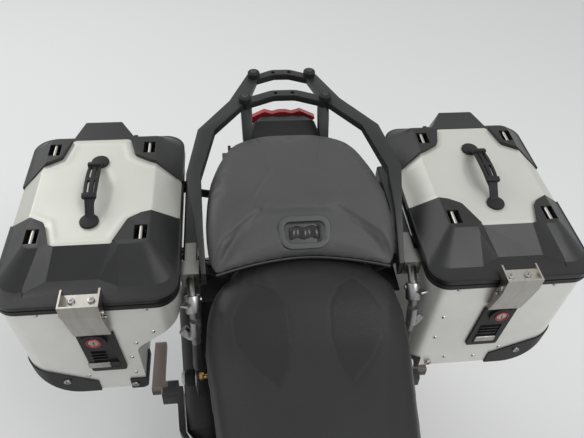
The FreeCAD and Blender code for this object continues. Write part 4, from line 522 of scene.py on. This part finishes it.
def foam_filled(item, voxel, swell, firm_below):
    """Cover remeshed evenly, blown up by its foam within a limit, smoothed and divided once."""
    press_frames = 20
    weave = item.modifiers.new("even_mesh", "REMESH")
    weave.mode = "VOXEL"
    weave.voxel_size = voxel
    mesh = settled(item)
    firm = item.vertex_groups.new(name="base")
    firm.add([vert.index for vert in mesh.vertices if vert.co.z < firm_below(vert.co.x)], 1.0, "REPLACE")
    before = [vert.co.copy() for vert in mesh.vertices]
    foam = item.modifiers.new("foam", "CLOTH")
    foam.settings.quality = 3
    foam.settings.use_pressure = True
    foam.settings.uniform_pressure_force = 4.0
    foam.settings.effector_weights.gravity = 0.0
    foam.settings.vertex_group_mass = "base"
    foam.point_cache.frame_end = press_frames
    for number in range(1, press_frames + 1):
        scene.frame_set(number)
    mesh = settled(item)
    scene.frame_set(1)
    for vert, place in zip(mesh.vertices, before):
        step = vert.co - place
        if step.length > swell:
            vert.co = place + step * (swell / step.length)
    smoother = item.modifiers.new("even_skin", "SMOOTH")
    smoother.factor = 0.5
    smoother.iterations = 5
    settled(item)
    finer = item.modifiers.new("finer", "SUBSURF")
    finer.levels = finer.render_levels = 1
    return settled(item)


def near_line(points, x, y):
    """Distance in plan from a place to a line of points."""
    nearest = 1e9
    for (ax, ay), (bx, by) in zip(points, points[1:]):
        length = (bx - ax) ** 2 + (by - ay) ** 2
        share = min(max(((x - ax) * (bx - ax) + (y - ay) * (by - ay)) / length, 0.0), 1.0)
        nearest = min(nearest, math.hypot(x - ax - share * (bx - ax), y - ay - share * (by - ay)))
    return nearest


def sew(mesh, lines, depth, width):
    """Seams pressed into the upper side of a cover along lines in plan, in millimetres."""
    for vert in mesh.vertices:
        if vert.normal.z < 0.35:
            continue
        x, y = vert.co.x * 1000, vert.co.y * 1000
        distance = min(near_line(line, x, y) for line in lines)
        if distance < width * 3:
            vert.co -= vert.normal * depth * 0.001 * math.exp(-((distance / width) ** 2))


def vinyl(name, clean, worn, smooth, rough):
    """Grained seat cover."""
    return surface(name, clean, worn, smooth, rough, patch=5, grain=0.42, grain_scale=620, specular=0.3)


def tube(form, points, radius, sides, closed=False):
    """Round tube: a circle at each point, joined to the next by side faces."""
    points = [Vector(point) for point in points]
    rings = []
    for i, point in enumerate(points):
        ahead = points[(i + 1) % len(points)] if closed else points[min(i + 1, len(points) - 1)]
        behind = points[i - 1] if closed or i else points[0]
        ring = bmesh.ops.create_circle(form, segments=sides, radius=radius, matrix=facing(point, ahead - behind))
        rings.append(list({line for vert in ring["verts"] for line in vert.link_edges}))
    for near, far in zip(rings, rings[1:] + (rings[:1] if closed else [])):
        bmesh.ops.bridge_loops(form, edges=near + far)
    if not closed:
        for ring in (rings[0], rings[-1]):
            bmesh.ops.edgeloop_fill(form, edges=ring)


# Heights and half widths of the passenger's seat, in millimetres. The lobes rise beside the scoop of its front.
passenger_width = [(0.0, 151), (0.06, 160), (0.15, 165), (0.3, 167), (0.62, 160), (0.85, 144), (1.0, 124)]
lobe_height = [(-904, 944), (-880, 955), (-839, 962), (-765, 967), (-690, 969), (-659, 965), (-630, 957), (-605, 949),
               (-580, 940), (-562, 934), (-550, 928)]
scoop_height = [(-690, 969), (-674, 969.5), (-665, 966), (-654, 953), (-640, 946.5), (-620, 938), (-598, 927),
                (-580, 921), (-556, 917)]
scoop_half = [(-690, 60), (-659, 70), (-640, 92), (-605, 134), (-575, 152)]
shoulder_seam = [(-659, 68), (-640, 92), (-605, 134), (-575, 150)]
back_seam = [(-868, 68), (-759, 44), (-681, 84)]
seat_underside = 907.6


def passenger_front(across):
    """Front edge of the passenger's seat, bowed forward at its sides."""
    return -592 + 30 * abs(across) ** 1.8


def passenger_place(across, along):
    """Place in plan on the passenger's seat."""
    front = passenger_front(across)
    rear = -900 + 56 * abs(across) ** 2.6
    return front + (rear - front) * along, across * drawn(passenger_width, along)


def passenger_top(x, y, across, along):
    """Height of the passenger's seat, with its brow, the pocket for the lock and its rounded edges."""
    lobe = drawn(lobe_height, x)
    scoop = drawn(scoop_height, x)
    crease = drawn(scoop_half, x)
    share = ease(crease - 7, crease + 7, abs(y)) if x > -680 else 1.0
    height = scoop + (lobe - scoop) * share
    height += 3.2 * math.exp(-(((x + 664) / 10) ** 2) - ((abs(y) - 68) / 12) ** 2)
    pocket = ease(34, 30, abs(y)) * ease(-644, -640, x) * ease(-600, -604, x)
    height -= 13 * pocket
    height -= rounded_off((1 - abs(across)) * drawn(passenger_width, along), 24) * 0.9
    height -= rounded_off((1 - along) * 300, 26)
    height -= rounded_off(along * 330, 7)
    return max(height, 910.0)


passenger_vinyl = vinyl("passenger_vinyl", (0.056, 0.057, 0.055), (0.063, 0.064, 0.062), 0.47, 0.55)
passenger_form = pad_form(passenger_place, passenger_top, lambda x, y: seat_underside, 72, 72)
passenger_pad = finished("passenger_seat_cover", passenger_form, passenger_vinyl, "chassis", ["passenger_seat"], 80)
passenger_skin = foam_filled(passenger_pad, 0.0045, 0.004, lambda x: 0.914)
sew(passenger_skin, [[(x, side * y) for x, y in back_seam] for side in (1, -1)], 1.3, 3.2)
sew(passenger_skin, [[(x, side * (y + 3)) for x, y in shoulder_seam] for side in (1, -1)], 1.6, 3.5)
crisp(passenger_skin, 180)

lip_form = bmesh.new()
lip = [(passenger_front(share) + 1.5, share * 151, 909.5) for share in [i / 20 - 1 for i in range(41)]]
tube(lip_form, lip, 2.6, 8)
dark_piping = surface("dark_piping", grey(0.014), grey(0.02), 0.4, 0.5, grain=0.3, grain_scale=900)
finished("passenger_seat_piping", lip_form, dark_piping, "chassis")

# The rider's seat: half width, crown and underside along the machine, and the outline of one drop-shaped panel.
rider_half = [(-600, 112), (-575, 134), (-545, 160), (-505, 172), (-450, 176), (-400, 170), (-300, 158), (-180, 142),
              (-70, 126), (58, 112)]
rider_crown = [(-600, 899), (-570, 901), (-545, 899), (-510, 893), (-470, 882), (-430, 873), (-360, 866), (-290, 861),
               (-150, 854), (-70, 853), (0, 860), (58, 873)]
rider_base = [(-600, 890), (-560, 860), (-510, 838), (-440, 820), (-290, 813), (58, 813)]
drop_panel = [(-546, 82), (-520, 108), (-484, 126), (-446, 122), (-404, 94), (-366, 58), (-398, 40), (-448, 32),
              (-498, 36), (-530, 54), (-546, 82)]


def rider_place(across, along):
    """Place in plan on the rider's seat."""
    x = 57 - 656 * along
    return x - 8 * (1 - across ** 2) * ease(0.85, 1.0, along), across * drawn(rider_half, x)


def rider_top(x, y, across, along):
    """Height of the rider's seat, crowned across and rounded at its edges."""
    half = drawn(rider_half, x)
    height = drawn(rider_crown, x) - 7 * (y / half) ** 2
    height -= rounded_off((1 - abs(across)) * half, 30) * 0.85
    height -= rounded_off(along * 650, 14)
    return max(height, drawn(rider_base, x) + 4)


def inside(outline, x, y):
    """Whether a place lies inside a closed outline in plan."""
    held = False
    for (ax, ay), (bx, by) in zip(outline, outline[1:]):
        if (ay > y) != (by > y) and x < (bx - ax) * (y - ay) / (by - ay) + ax:
            held = not held
    return held


rider_vinyl = vinyl("rider_vinyl", grey(0.0125), grey(0.016), 0.46, 0.54)
rider_tree = rider_vinyl.node_tree
rider_shader = rider_tree.nodes["Principled BSDF"]
panel_place = rider_tree.nodes.new("ShaderNodeAttribute")
panel_place.attribute_name = "smooth_panel"
for label, kind, smooth in (("Base Color", "RGBA", (*grey(0.0105), 1)), ("Roughness", "FLOAT", 0.4)):
    socket = rider_shader.inputs[label]
    rider_tree.links.new(mixed(rider_tree, kind, panel_place.outputs["Fac"], socket.links[0].from_socket, smooth),
                         socket)
rider_form = pad_form(rider_place, rider_top, lambda x, y: drawn(rider_base, x) + 0.6, 56, 100)
rider_pad = finished("rider_seat_cover", rider_form, rider_vinyl, "chassis", ["rider_seat"], 80)
rider_skin = foam_filled(rider_pad, 0.0055, 0.005, lambda x: drawn(rider_base, x * 1000) / 1000 + 0.008)
drops = [[(x, side * y) for x, y in drop_panel] for side in (1, -1)]
sew(rider_skin, drops, 0.6, 2.4)
panel_mask = rider_skin.attributes.new("smooth_panel", "FLOAT", "POINT")
panel_mask.data.foreach_set("value", [
    1.0 if vert.normal.z > 0.3 and any(inside(drop, vert.co.x * 1000, vert.co.y * 1000) for drop in drops) else 0.0
    for vert in rider_skin.vertices])
crisp(rider_skin, 180)


# The seat lock sits in a grey moulded bezel on the slope of the passenger's seat: a black pocket with a waved rocker.
# It is modelled level and then laid on the slope.
def outlined(form, points, radii, segments):
    """Flat face on an outline, each corner rounded by its own radius."""
    face = form.faces.new([form.verts.new(point) for point in points])
    for vert, radius in zip(list(face.verts), radii):
        rounded(form, [vert], radius, segments, "VERTICES")
    return max(form.faces, key=lambda each: each.calc_area())


bezel_grey = surface("bezel_grey", grey(0.05, 0.03), grey(0.06, 0.03), 0.38, 0.48, grain=0.2, grain_scale=1200,
                     specular=0.35)
pocket_black = surface("pocket_black", grey(0.006), grey(0.01), 0.22, 0.34)
bezel = bmesh.new()
ring = outlined(bezel, [(-30, -49, -9), (30, -43, -9), (30, 43, -9), (-30, 49, -9)], [24, 22, 22, 24], 7)
ring = pulled(bezel, [ring], (0, 0, 12))[0]
rounded(bezel, list(ring.edges), 1.6, 3)
ring = max((face for face in bezel.faces if face.calc_center_median().z > 2.9), key=lambda face: face.calc_area())
bmesh.ops.inset_region(bezel, faces=[ring], thickness=8.5, depth=-0.8)
bmesh.ops.inset_region(bezel, faces=[ring], thickness=1.2, depth=-1.4)
for sink in (-6.0, -2.0):
    lower = pulled(bezel, [ring], (0, 0, sink))[0]
    if ring.is_valid:
        bmesh.ops.delete(bezel, geom=[ring], context="FACES_ONLY")
    ring = lower
for face in bezel.faces:
    face.material_index = 1 if face.calc_center_median().z < -0.5 and abs(face.calc_center_median().x) < 20.5 else 0
rocker_half, rocker_reach = 10.5, 26.0
rocker_grid = bmesh.ops.create_grid(bezel, x_segments=10, y_segments=26, size=1.0)
for vert in rocker_grid["verts"]:
    x, y = vert.co.x * rocker_half, vert.co.y * rocker_reach
    wave = 1.6 * math.cos(y / rocker_reach * 2.6 * math.pi)
    vert.co = (x - 1 + 1.5 * math.cos(y / rocker_reach * 2 * math.pi), y, -1.8 + wave - (x / rocker_half) ** 2 * 2.2)
rocker_faces = list({face for vert in rocker_grid["verts"] for face in vert.link_faces})
for face in rocker_faces:
    face.material_index = 1
bmesh.ops.solidify(bezel, geom=rocker_faces, thickness=3.5)
bmesh.ops.rotate(bezel, cent=(0, 0, 0), matrix=Matrix.Rotation(math.radians(31), 3, "Y"), verts=bezel.verts)
bmesh.ops.translate(bezel, vec=(-621.4, 5, 941), verts=bezel.verts)
finished("seat_lock_bezel", bezel, [bezel_grey, pocket_black], "chassis", ["seat_switch"], 40)


# The luggage rack is one grey casting under a fine textured powder coat: two grip rails that sweep round the passenger
# seat, two crossbars and the struts down to the tail. Its edges are cast round. The case racks are welded of tube and
# bar, bare and bright at their front ends, and four rubber knobs are screwed on the crossbars.
def softened(name, node, finish, body, edge, angle=28.0, flat=40.0):
    """Copy of a CAD node with the edges over an angle rounded, which stands for it."""
    form = bmesh.new()
    form.from_mesh(nodes[node].data)
    bmesh.ops.remove_doubles(form, verts=form.verts, dist=0.02 * 0.001)
    bmesh.ops.dissolve_limit(form, angle_limit=math.radians(1.5), use_dissolve_boundaries=False, verts=form.verts,
                             edges=form.edges)
    sharp = [line for line in form.edges if len(line.link_faces) == 2
             and line.calc_face_angle() > math.radians(angle) and line.calc_length() > edge * 0.0006]
    rounded(form, sharp, edge * 0.001, 3, clamp=True)
    placed(name, form, [finish], body, [node], flat)


rack_coat = surface("rack_coat", grey(0.016, 0.05), grey(0.022, 0.05), 0.4, 0.5, grain=0.25, grain_scale=1300,
                    specular=0.35)
softened("rack_casting", "luggage_rack", rack_coat, "chassis", 4.5)
clad(rubber, "rack_knobs")
rack_bar = surface("rack_bar", grey(0.016, 0.05), grey(0.022, 0.05), 0.38, 0.48, grain=0.2, grain_scale=1300,
                   specular=0.35)
changed_where(rack_bar, [("X", "over", -0.645), ("Z", "over", 0.79)], (0.2, 0.2, 0.19), 1.0, 0.34)
softened("case_rack_bars", "case_racks", rack_bar, "chassis", 2.2)
knob_screws = bmesh.new()
for x, y in ((-1042, 61), (-952, 84), (-1042, -61), (-952, -84)):
    screw(knob_screws, (x, y, 997.6), (0, 0, 1), 6.4, 1.6, socket=0.45)
finished("rack_knob_screws", knob_screws, dark_alloy, "chassis")

# The side cases are folded and riveted from satin aluminium sheet, with a black moulded rim of two beads under the lid
# and black moulded caps over the lower corners, each held by one round screw.
case_sheet = surface("case_sheet", (0.80, 0.80, 0.755), (0.73, 0.73, 0.69), 0.38, 0.46, metal=0.6, patch=7)
clad(case_sheet, "case_box_left", "case_box_right")
clad(moulded_black, "case_fittings", "case_protectors")
case_front, case_rear = -518, -926
case_inner, case_outer = 218, 508

for side, label in ((1, "left"), (-1, "right")):
    rim = bmesh.new()
    for low, high, reach in ((897.5, 904.6, 5.0), (892.5, 896.6, 3.6)):
        bead = bmesh.new()
        face = outlined(bead, [(case_front + reach, side * (case_inner - reach), low),
                               (case_front + reach, side * (case_outer + reach), low),
                               (case_rear - reach, side * (case_outer + reach), low),
                               (case_rear - reach, side * (case_inner - reach), low)],
                        [34 + reach] * 4, 8)
        bmesh.ops.inset_region(bead, faces=[face], thickness=reach + 0.4, depth=0, use_boundary=True,
                               use_even_offset=True)
        bmesh.ops.delete(bead, geom=[max(bead.faces, key=lambda each: each.calc_area())], context="FACES")
        pulled(bead, bead.faces[:], (0, 0, high - low))
        bead_mesh = bpy.data.meshes.new("rim_bead")
        bead.to_mesh(bead_mesh)
        bead.free()
        rim.from_mesh(bead_mesh)
        bpy.data.meshes.remove(bead_mesh)
    finished("case_rim_" + label, rim, moulded_black, "chassis", (), 30)


def rivet(form, place, direction):
    """Domed head, its lower half sunk in the sheet."""
    bmesh.ops.create_uvsphere(form, u_segments=14, v_segments=8, radius=1.0,
                              matrix=facing(place, direction, (4.2, 4.2, 2.4)))


rivet_alloy = surface("rivet_alloy", grey(0.6), grey(0.5), 0.22, 0.32, metal=1.0, patch=60)
rivets = bmesh.new()
end_rivets_right = [(445, 886), (269, 886), (267, 816), (301, 782), (316, 734), (318, 678), (405, 676)]
end_rivets_left = [(445, 886), (269, 886), (262, 800), (262, 730), (300, 650), (362, 646), (408, 676)]
for side, places in ((1, end_rivets_left), (-1, end_rivets_right)):
    for y, z in places:
        rivet(rivets, (case_front, side * y, z), (1, 0, 0))
        rivet(rivets, (case_rear, side * y, z), (-1, 0, 0))
    for x in (-560, -720, -880):
        for z in (874, 716):
            rivet(rivets, (x, side * case_outer, z), (0, side, 0))
finished("case_rivets", rivets, rivet_alloy, "chassis")

cap_screws = bmesh.new()
for side, inner_corner in ((1, 266), (-1, 324)):
    for x, aim in ((case_front + 3, 1), (case_rear - 3, -1)):
        for y, z in ((447, 665), (inner_corner, 637)):
            screw(cap_screws, (x, side * y, z), (aim, 0, 0), 7.0, 3.2, socket=0.55)
finished("case_cap_screws", cap_screws, screw_zinc, "chassis")


# Lock: a round steel barrel face in a red ring with its key slot, and the steel bar of the pull under it. They are
# let into the black lock plate on the front of each case, which has three slots under the barrel.
def block(form, low, high, edge, turn=None):
    """Block between two corners with rounded edges, turned about its middle."""
    middle = (Vector(low) + Vector(high)) / 2
    size = Vector(high) - Vector(low)
    spot = Matrix.Translation(middle) @ (turn.to_4x4() if turn else Matrix()) @ Matrix.Diagonal((*size, 1))
    cube = bmesh.ops.create_cube(form, size=1.0, matrix=spot)
    rounded(form, list({line for vert in cube["verts"] for line in vert.link_edges}), edge, 2)


def sleeve(form, start, end, radius, edge, sides):
    """Solid round bar with both rims rounded."""
    start, end = Vector(start), Vector(end)
    bar = bmesh.ops.create_cone(form, cap_ends=True, segments=sides, radius1=radius, radius2=radius,
                                depth=(end - start).length, matrix=facing((start + end) / 2, end - start))
    rims = list({line for vert in bar["verts"] for face in vert.link_faces if len(face.verts) == sides
                 for line in face.edges})
    rounded(form, rims, edge, 2)


stainless = surface("stainless", (0.44, 0.425, 0.39), (0.38, 0.365, 0.335), 0.3, 0.38, metal=1.0, patch=14,
                    stretch=(1, 9, 1))
ring_red = surface("ring_red", (0.4, 0.01, 0.012), (0.34, 0.01, 0.01), 0.25, 0.35)
lock_z = 806
lock_faces = bmesh.new()
lock_rings = bmesh.new()
key_slots = bmesh.new()
for side in (1, -1):
    y = side * 368.5
    sleeve(lock_faces, (-510.5, y, lock_z), (-507.2, y, lock_z), 9.6, 1.0, 28)
    tube(lock_rings, [(-507.6, y + 11.6 * math.cos(a * math.pi / 16), lock_z + 11.6 * math.sin(a * math.pi / 16))
                      for a in range(32)], 1.5, 8, closed=True)
    block(key_slots, (-507.6, y - 1.1, lock_z - 5), (-506.9, y + 1.1, lock_z + 5), 0.2)
    block(lock_faces, (-514, y - 27, 715), (-510.6, y + 13, 731), 1.4)
    for z in (742, 752, 762):
        block(key_slots, (-516, y - 25, z - 0.8), (-512.6, y + 11, z + 0.8), 0.3)
finished("lock_barrels", lock_faces, stainless, "chassis")
finished("lock_rings", lock_rings, ring_red, "chassis")
finished("lock_slots", key_slots, pocket_black, "chassis")

# Lids: a dark grey moulded cover whose rim is black, with a pale aluminium plate let in. The plate is pressed, with a
# soft bead along its edge and a shallow oval dish under the handle.
lid_moulding = surface("lid_moulding", grey(0.0125, 0.03), grey(0.017, 0.03), 0.33, 0.4, grain=0.3, grain_scale=1100,
                       specular=0.34)
changed_where(lid_moulding, [("Z", "under", 0.9172)], (0.007, 0.007, 0.0075))

plate_sheet = surface("plate_sheet", (0.555, 0.555, 0.505), (0.515, 0.515, 0.47), 0.42, 0.5, metal=0.35, patch=5)
plate_outline = [(-610, 322), (-610, 426), (-660, 440), (-673, 464), (-693, 520), (-786, 520), (-816, 460),
                 (-830, 438), (-886, 426), (-886, 316), (-835, 303), (-816, 274), (-787, 205), (-693, 205),
                 (-675, 278), (-662, 300), (-610, 322)]
for side, label in ((1, "left"), (-1, "right")):
    softened("lid_shell_" + label, "lid_cover_" + label, lid_moulding, "lid_" + label, 2.2, 14.0, flat=13.0)
    plate = bmesh.new()
    plate.from_mesh(nodes["lid_plate_" + label].data)
    bmesh.ops.remove_doubles(plate, verts=plate.verts, dist=0.00002)
    bmesh.ops.scale(plate, vec=(1000, 1000, 1000), verts=plate.verts)
    cuts = [((i, 0, 0), (1, 0, 0)) for i in range(-888, -606, 4)]
    cuts += [((0, side * i, 0), (0, 1, 0)) for i in range(212, 516, 4)]
    for spot, across in cuts:
        bmesh.ops.bisect_plane(plate, geom=plate.verts[:] + plate.edges[:] + plate.faces[:], dist=0.001,
                               plane_co=spot, plane_no=across)
    for vert in plate.verts:
        x, y = vert.co.x, abs(vert.co.y)
        edge = near_line(plate_outline, x, y)
        oval = math.hypot((x + 739) / 66, (y - 362) / 30)
        lift = -1.7 * (1 - ease(0.62, 1.12, oval))
        if 224 < y < 496:
            lift += 0.9 * math.exp(-(((edge - 11) / 4.5) ** 2)) - 0.8 * (1 - ease(0, 7, edge))
        vert.co.z += lift
    finished("lid_pressed_plate_" + label, plate, plate_sheet, "lid_" + label, ["lid_plate_" + label], 24, False)

# Handle: a moulded strap with long slots, clamped at both ends in a neck that drops to a round foot on the plate.
# The tables give its rise and half width along its length.
strap_y = 366
strap_x = [(0.0, -816), (0.06, -808), (0.14, -796), (0.22, -783), (0.34, -764), (0.5, -739), (0.66, -714),
           (0.78, -695), (0.86, -682), (0.94, -670), (1.0, -662)]
strap_z = [(0.0, 951.5), (0.06, 954), (0.14, 966), (0.22, 975), (0.34, 979), (0.5, 980), (0.66, 979), (0.78, 974),
           (0.86, 965), (0.94, 954), (1.0, 951.5)]
strap_half = [(0.0, 9), (0.1, 7.5), (0.2, 8), (0.26, 10.5), (0.5, 11.5), (0.74, 10.5), (0.8, 8), (0.9, 7.5), (1.0, 9)]
for side, label in ((1, "left"), (-1, "right")):
    grip = bmesh.new()
    bmesh.ops.create_grid(grip, x_segments=44, y_segments=10, size=1.0)
    slots = []
    for face in grip.faces:
        middle = face.calc_center_median()
        along, across = (middle.x + 1) / 2, middle.y
        if (0.3 < along < 0.48 or 0.52 < along < 0.7) and 0.3 < abs(across) < 0.6:
            slots.append(face)
    bmesh.ops.delete(grip, geom=slots, context="FACES")
    for vert in grip.verts:
        along, across = (vert.co.x + 1) / 2, vert.co.y
        vert.co = (drawn(strap_x, along), side * (strap_y + across * drawn(strap_half, along)),
                   drawn(strap_z, along) - 0.8 * across ** 2)
    bmesh.ops.solidify(grip, geom=grip.faces[:], thickness=6.0)
    bmesh.ops.recalc_face_normals(grip, faces=grip.faces)
    for x in (-816, -662):
        sleeve(grip, (x, side * strap_y, 947.8), (x, side * strap_y, 953.5), 16.5, 2.0, 32)
    for x, z, lean in ((-779, 978.5, 14), (-699, 977.5, -14)):
        block(grip, (x - 5, side * strap_y - 12.4, z - 6), (x + 5, side * strap_y + 12.4, z + 2.5), 1.6,
              Matrix.Rotation(math.radians(-lean), 3, "Y"))
    finished("lid_strap_" + label, grip, rubber, "lid_" + label, ["lid_handle_" + label], 35)

# Latch: a brushed stainless tray with a flap bent down over the case, held on the lid by two round screws, with two
# pins on each side of the flap. The tie-down bars in the lid's corners are of the same steel.
clad(stainless, "lid_metal_left", "lid_metal_right")
for side, label in ((1, "left"), (-1, "right")):
    latch = bmesh.new()
    for y in (349, 380):
        screw(latch, (-516, side * y, 921.2), (0, 0, 1), 6.0, 3.4)
    for y in (331.5, 397.5):
        for x, z, radius in ((-500, 909, 4.2), (-506, 888, 3.4)):
            sleeve(latch, (x, side * (y - 2.2), z), (x, side * (y + 2.2), z), radius, 0.8, 18)
    finished("latch_screws_" + label, latch, screw_zinc, "lid_" + label)

# Case rack mounts: bright clamps, a bent stainless stay to the case and a rubber bush with a domed cap on each hoop.
# Black sheets under the seat are painted shade: they darken the gap between the tail and the rack, and are screwed to
# the rack's stays.
steel_bar = surface("steel_bar", grey(0.34), grey(0.24), 0.26, 0.4, metal=1.0, patch=30)
cap_white = surface("cap_white", grey(0.72), grey(0.62), 0.35, 0.45)
brass = surface("brass", (0.52, 0.37, 0.16), (0.42, 0.29, 0.12), 0.28, 0.4, metal=1.0, patch=40)
bush_x, bush_z = -522, 632
stay_bars, bushes, caps, nuts, shade_sheets = (bmesh.new() for i in range(5))
for side in (1, -1):
    tube(stay_bars, [(-513, side * 191, 850), (-507, side * 192, 822), (-510, side * 196, 806),
                     (-516, side * 203, 800), (-520, side * 210, 802), (-524, side * 216, 808)], 9.5, 16)
    sleeve(stay_bars, (-546, side * 194, 878), (-524, side * 193, 856), 13.5, 2.0, 20)
    lean = Vector((57, side * 15, 48)).to_track_quat("X", "Z").to_matrix()
    block(stay_bars, (-568, side * 200 - 7, 866), (-508, side * 200 + 7, 870), 1.4, lean)
    sleeve(stay_bars, (-541, side * 178, 872), (-541, side * 207, 872), 4.6, 1.0, 12)
    for form, start, end, radius, edge, sides in (
        (bushes, 226, 208, 17.5, 3.0, 28), (bushes, 229, 224, 14.0, 1.5, 28), (caps, 236, 226, 13.5, 4.5, 28),
        (stay_bars, 208, 204, 20.0, 1.2, 28), (nuts, 203, 192, 7.5, 1.0, 6), (nuts, 192, 184, 4.5, 0.8, 14),
    ):
        sleeve(form, (bush_x, side * start, bush_z), (bush_x, side * end, bush_z), radius, edge, sides)
    block(stay_bars, (bush_x - 14, side * 206 - 2.5, 572), (bush_x + 14, side * 206 + 2.5, 640), 1.6)
    # Painted shade: black sheets that darken the gap under the seat, between the tail and the rack.
    for bottom, reach in ((834.2, 181), (800, 115)):
        near, far = sorted((side * 112, side * reach))
        block(shade_sheets, (-660, near, bottom), (-560, far, 838.0), 1.0)
    screw(shade_sheets, (-618, side * 140, 834.4), (0, 0, -1), 6, 3)
finished("rack_stays", stay_bars, steel_bar, "chassis")
finished("rack_bushes", bushes, rubber, "chassis")
finished("rack_bush_caps", caps, cap_white, "chassis")
finished("rack_bush_nuts", nuts, brass, "chassis")
finished("under_seat_shade_sheets", shade_sheets, moulded_black, "chassis")

# Footrests and pedals are cast alloy with soft edges, bolted to the frame. The passenger's are folded and warmer in
# tone, and the reservoir of the rear brake has a ribbed black moulded cap.
peg_alloy = surface("peg_alloy", grey(0.06), grey(0.045), 0.38, 0.5, metal=0.5, patch=12, grain=0.2, grain_scale=900)
changed_where(peg_alloy, [("X", "under", -0.584), ("Y", "over", 0.285)], (0.2, 0.165, 0.15))
softened("footrest_castings", "footrests", peg_alloy, "chassis", 2.0)
cap_x, cap_y, cap_radius = -262, -160, 21.5
ribs = bmesh.new()
sleeve(ribs, (cap_x, cap_y, 611), (cap_x, cap_y, 621), cap_radius, 2.0, 28)
for i in range(16):
    angle = i * math.pi / 8
    x, y = cap_x + cap_radius * math.cos(angle), cap_y + cap_radius * math.sin(angle)
    sleeve(ribs, (x, y, 606), (x, y, 618), 2.2, 0.6, 8)
finished("reservoir_cap_ribs", ribs, moulded_black, "chassis")
peg_screws = bmesh.new()
for side in (1, -1):
    screw(peg_screws, (-578, side * 296.5, 460), (0, side, 0), 7.5, 3.5)
    for x, z in ((-130, 330), (-214, 478)):
        screw(peg_screws, (x, side * 158, z), (0, side, 0), 6.5, 4.0)
finished("footrest_screws", peg_screws, screw_zinc, "chassis")
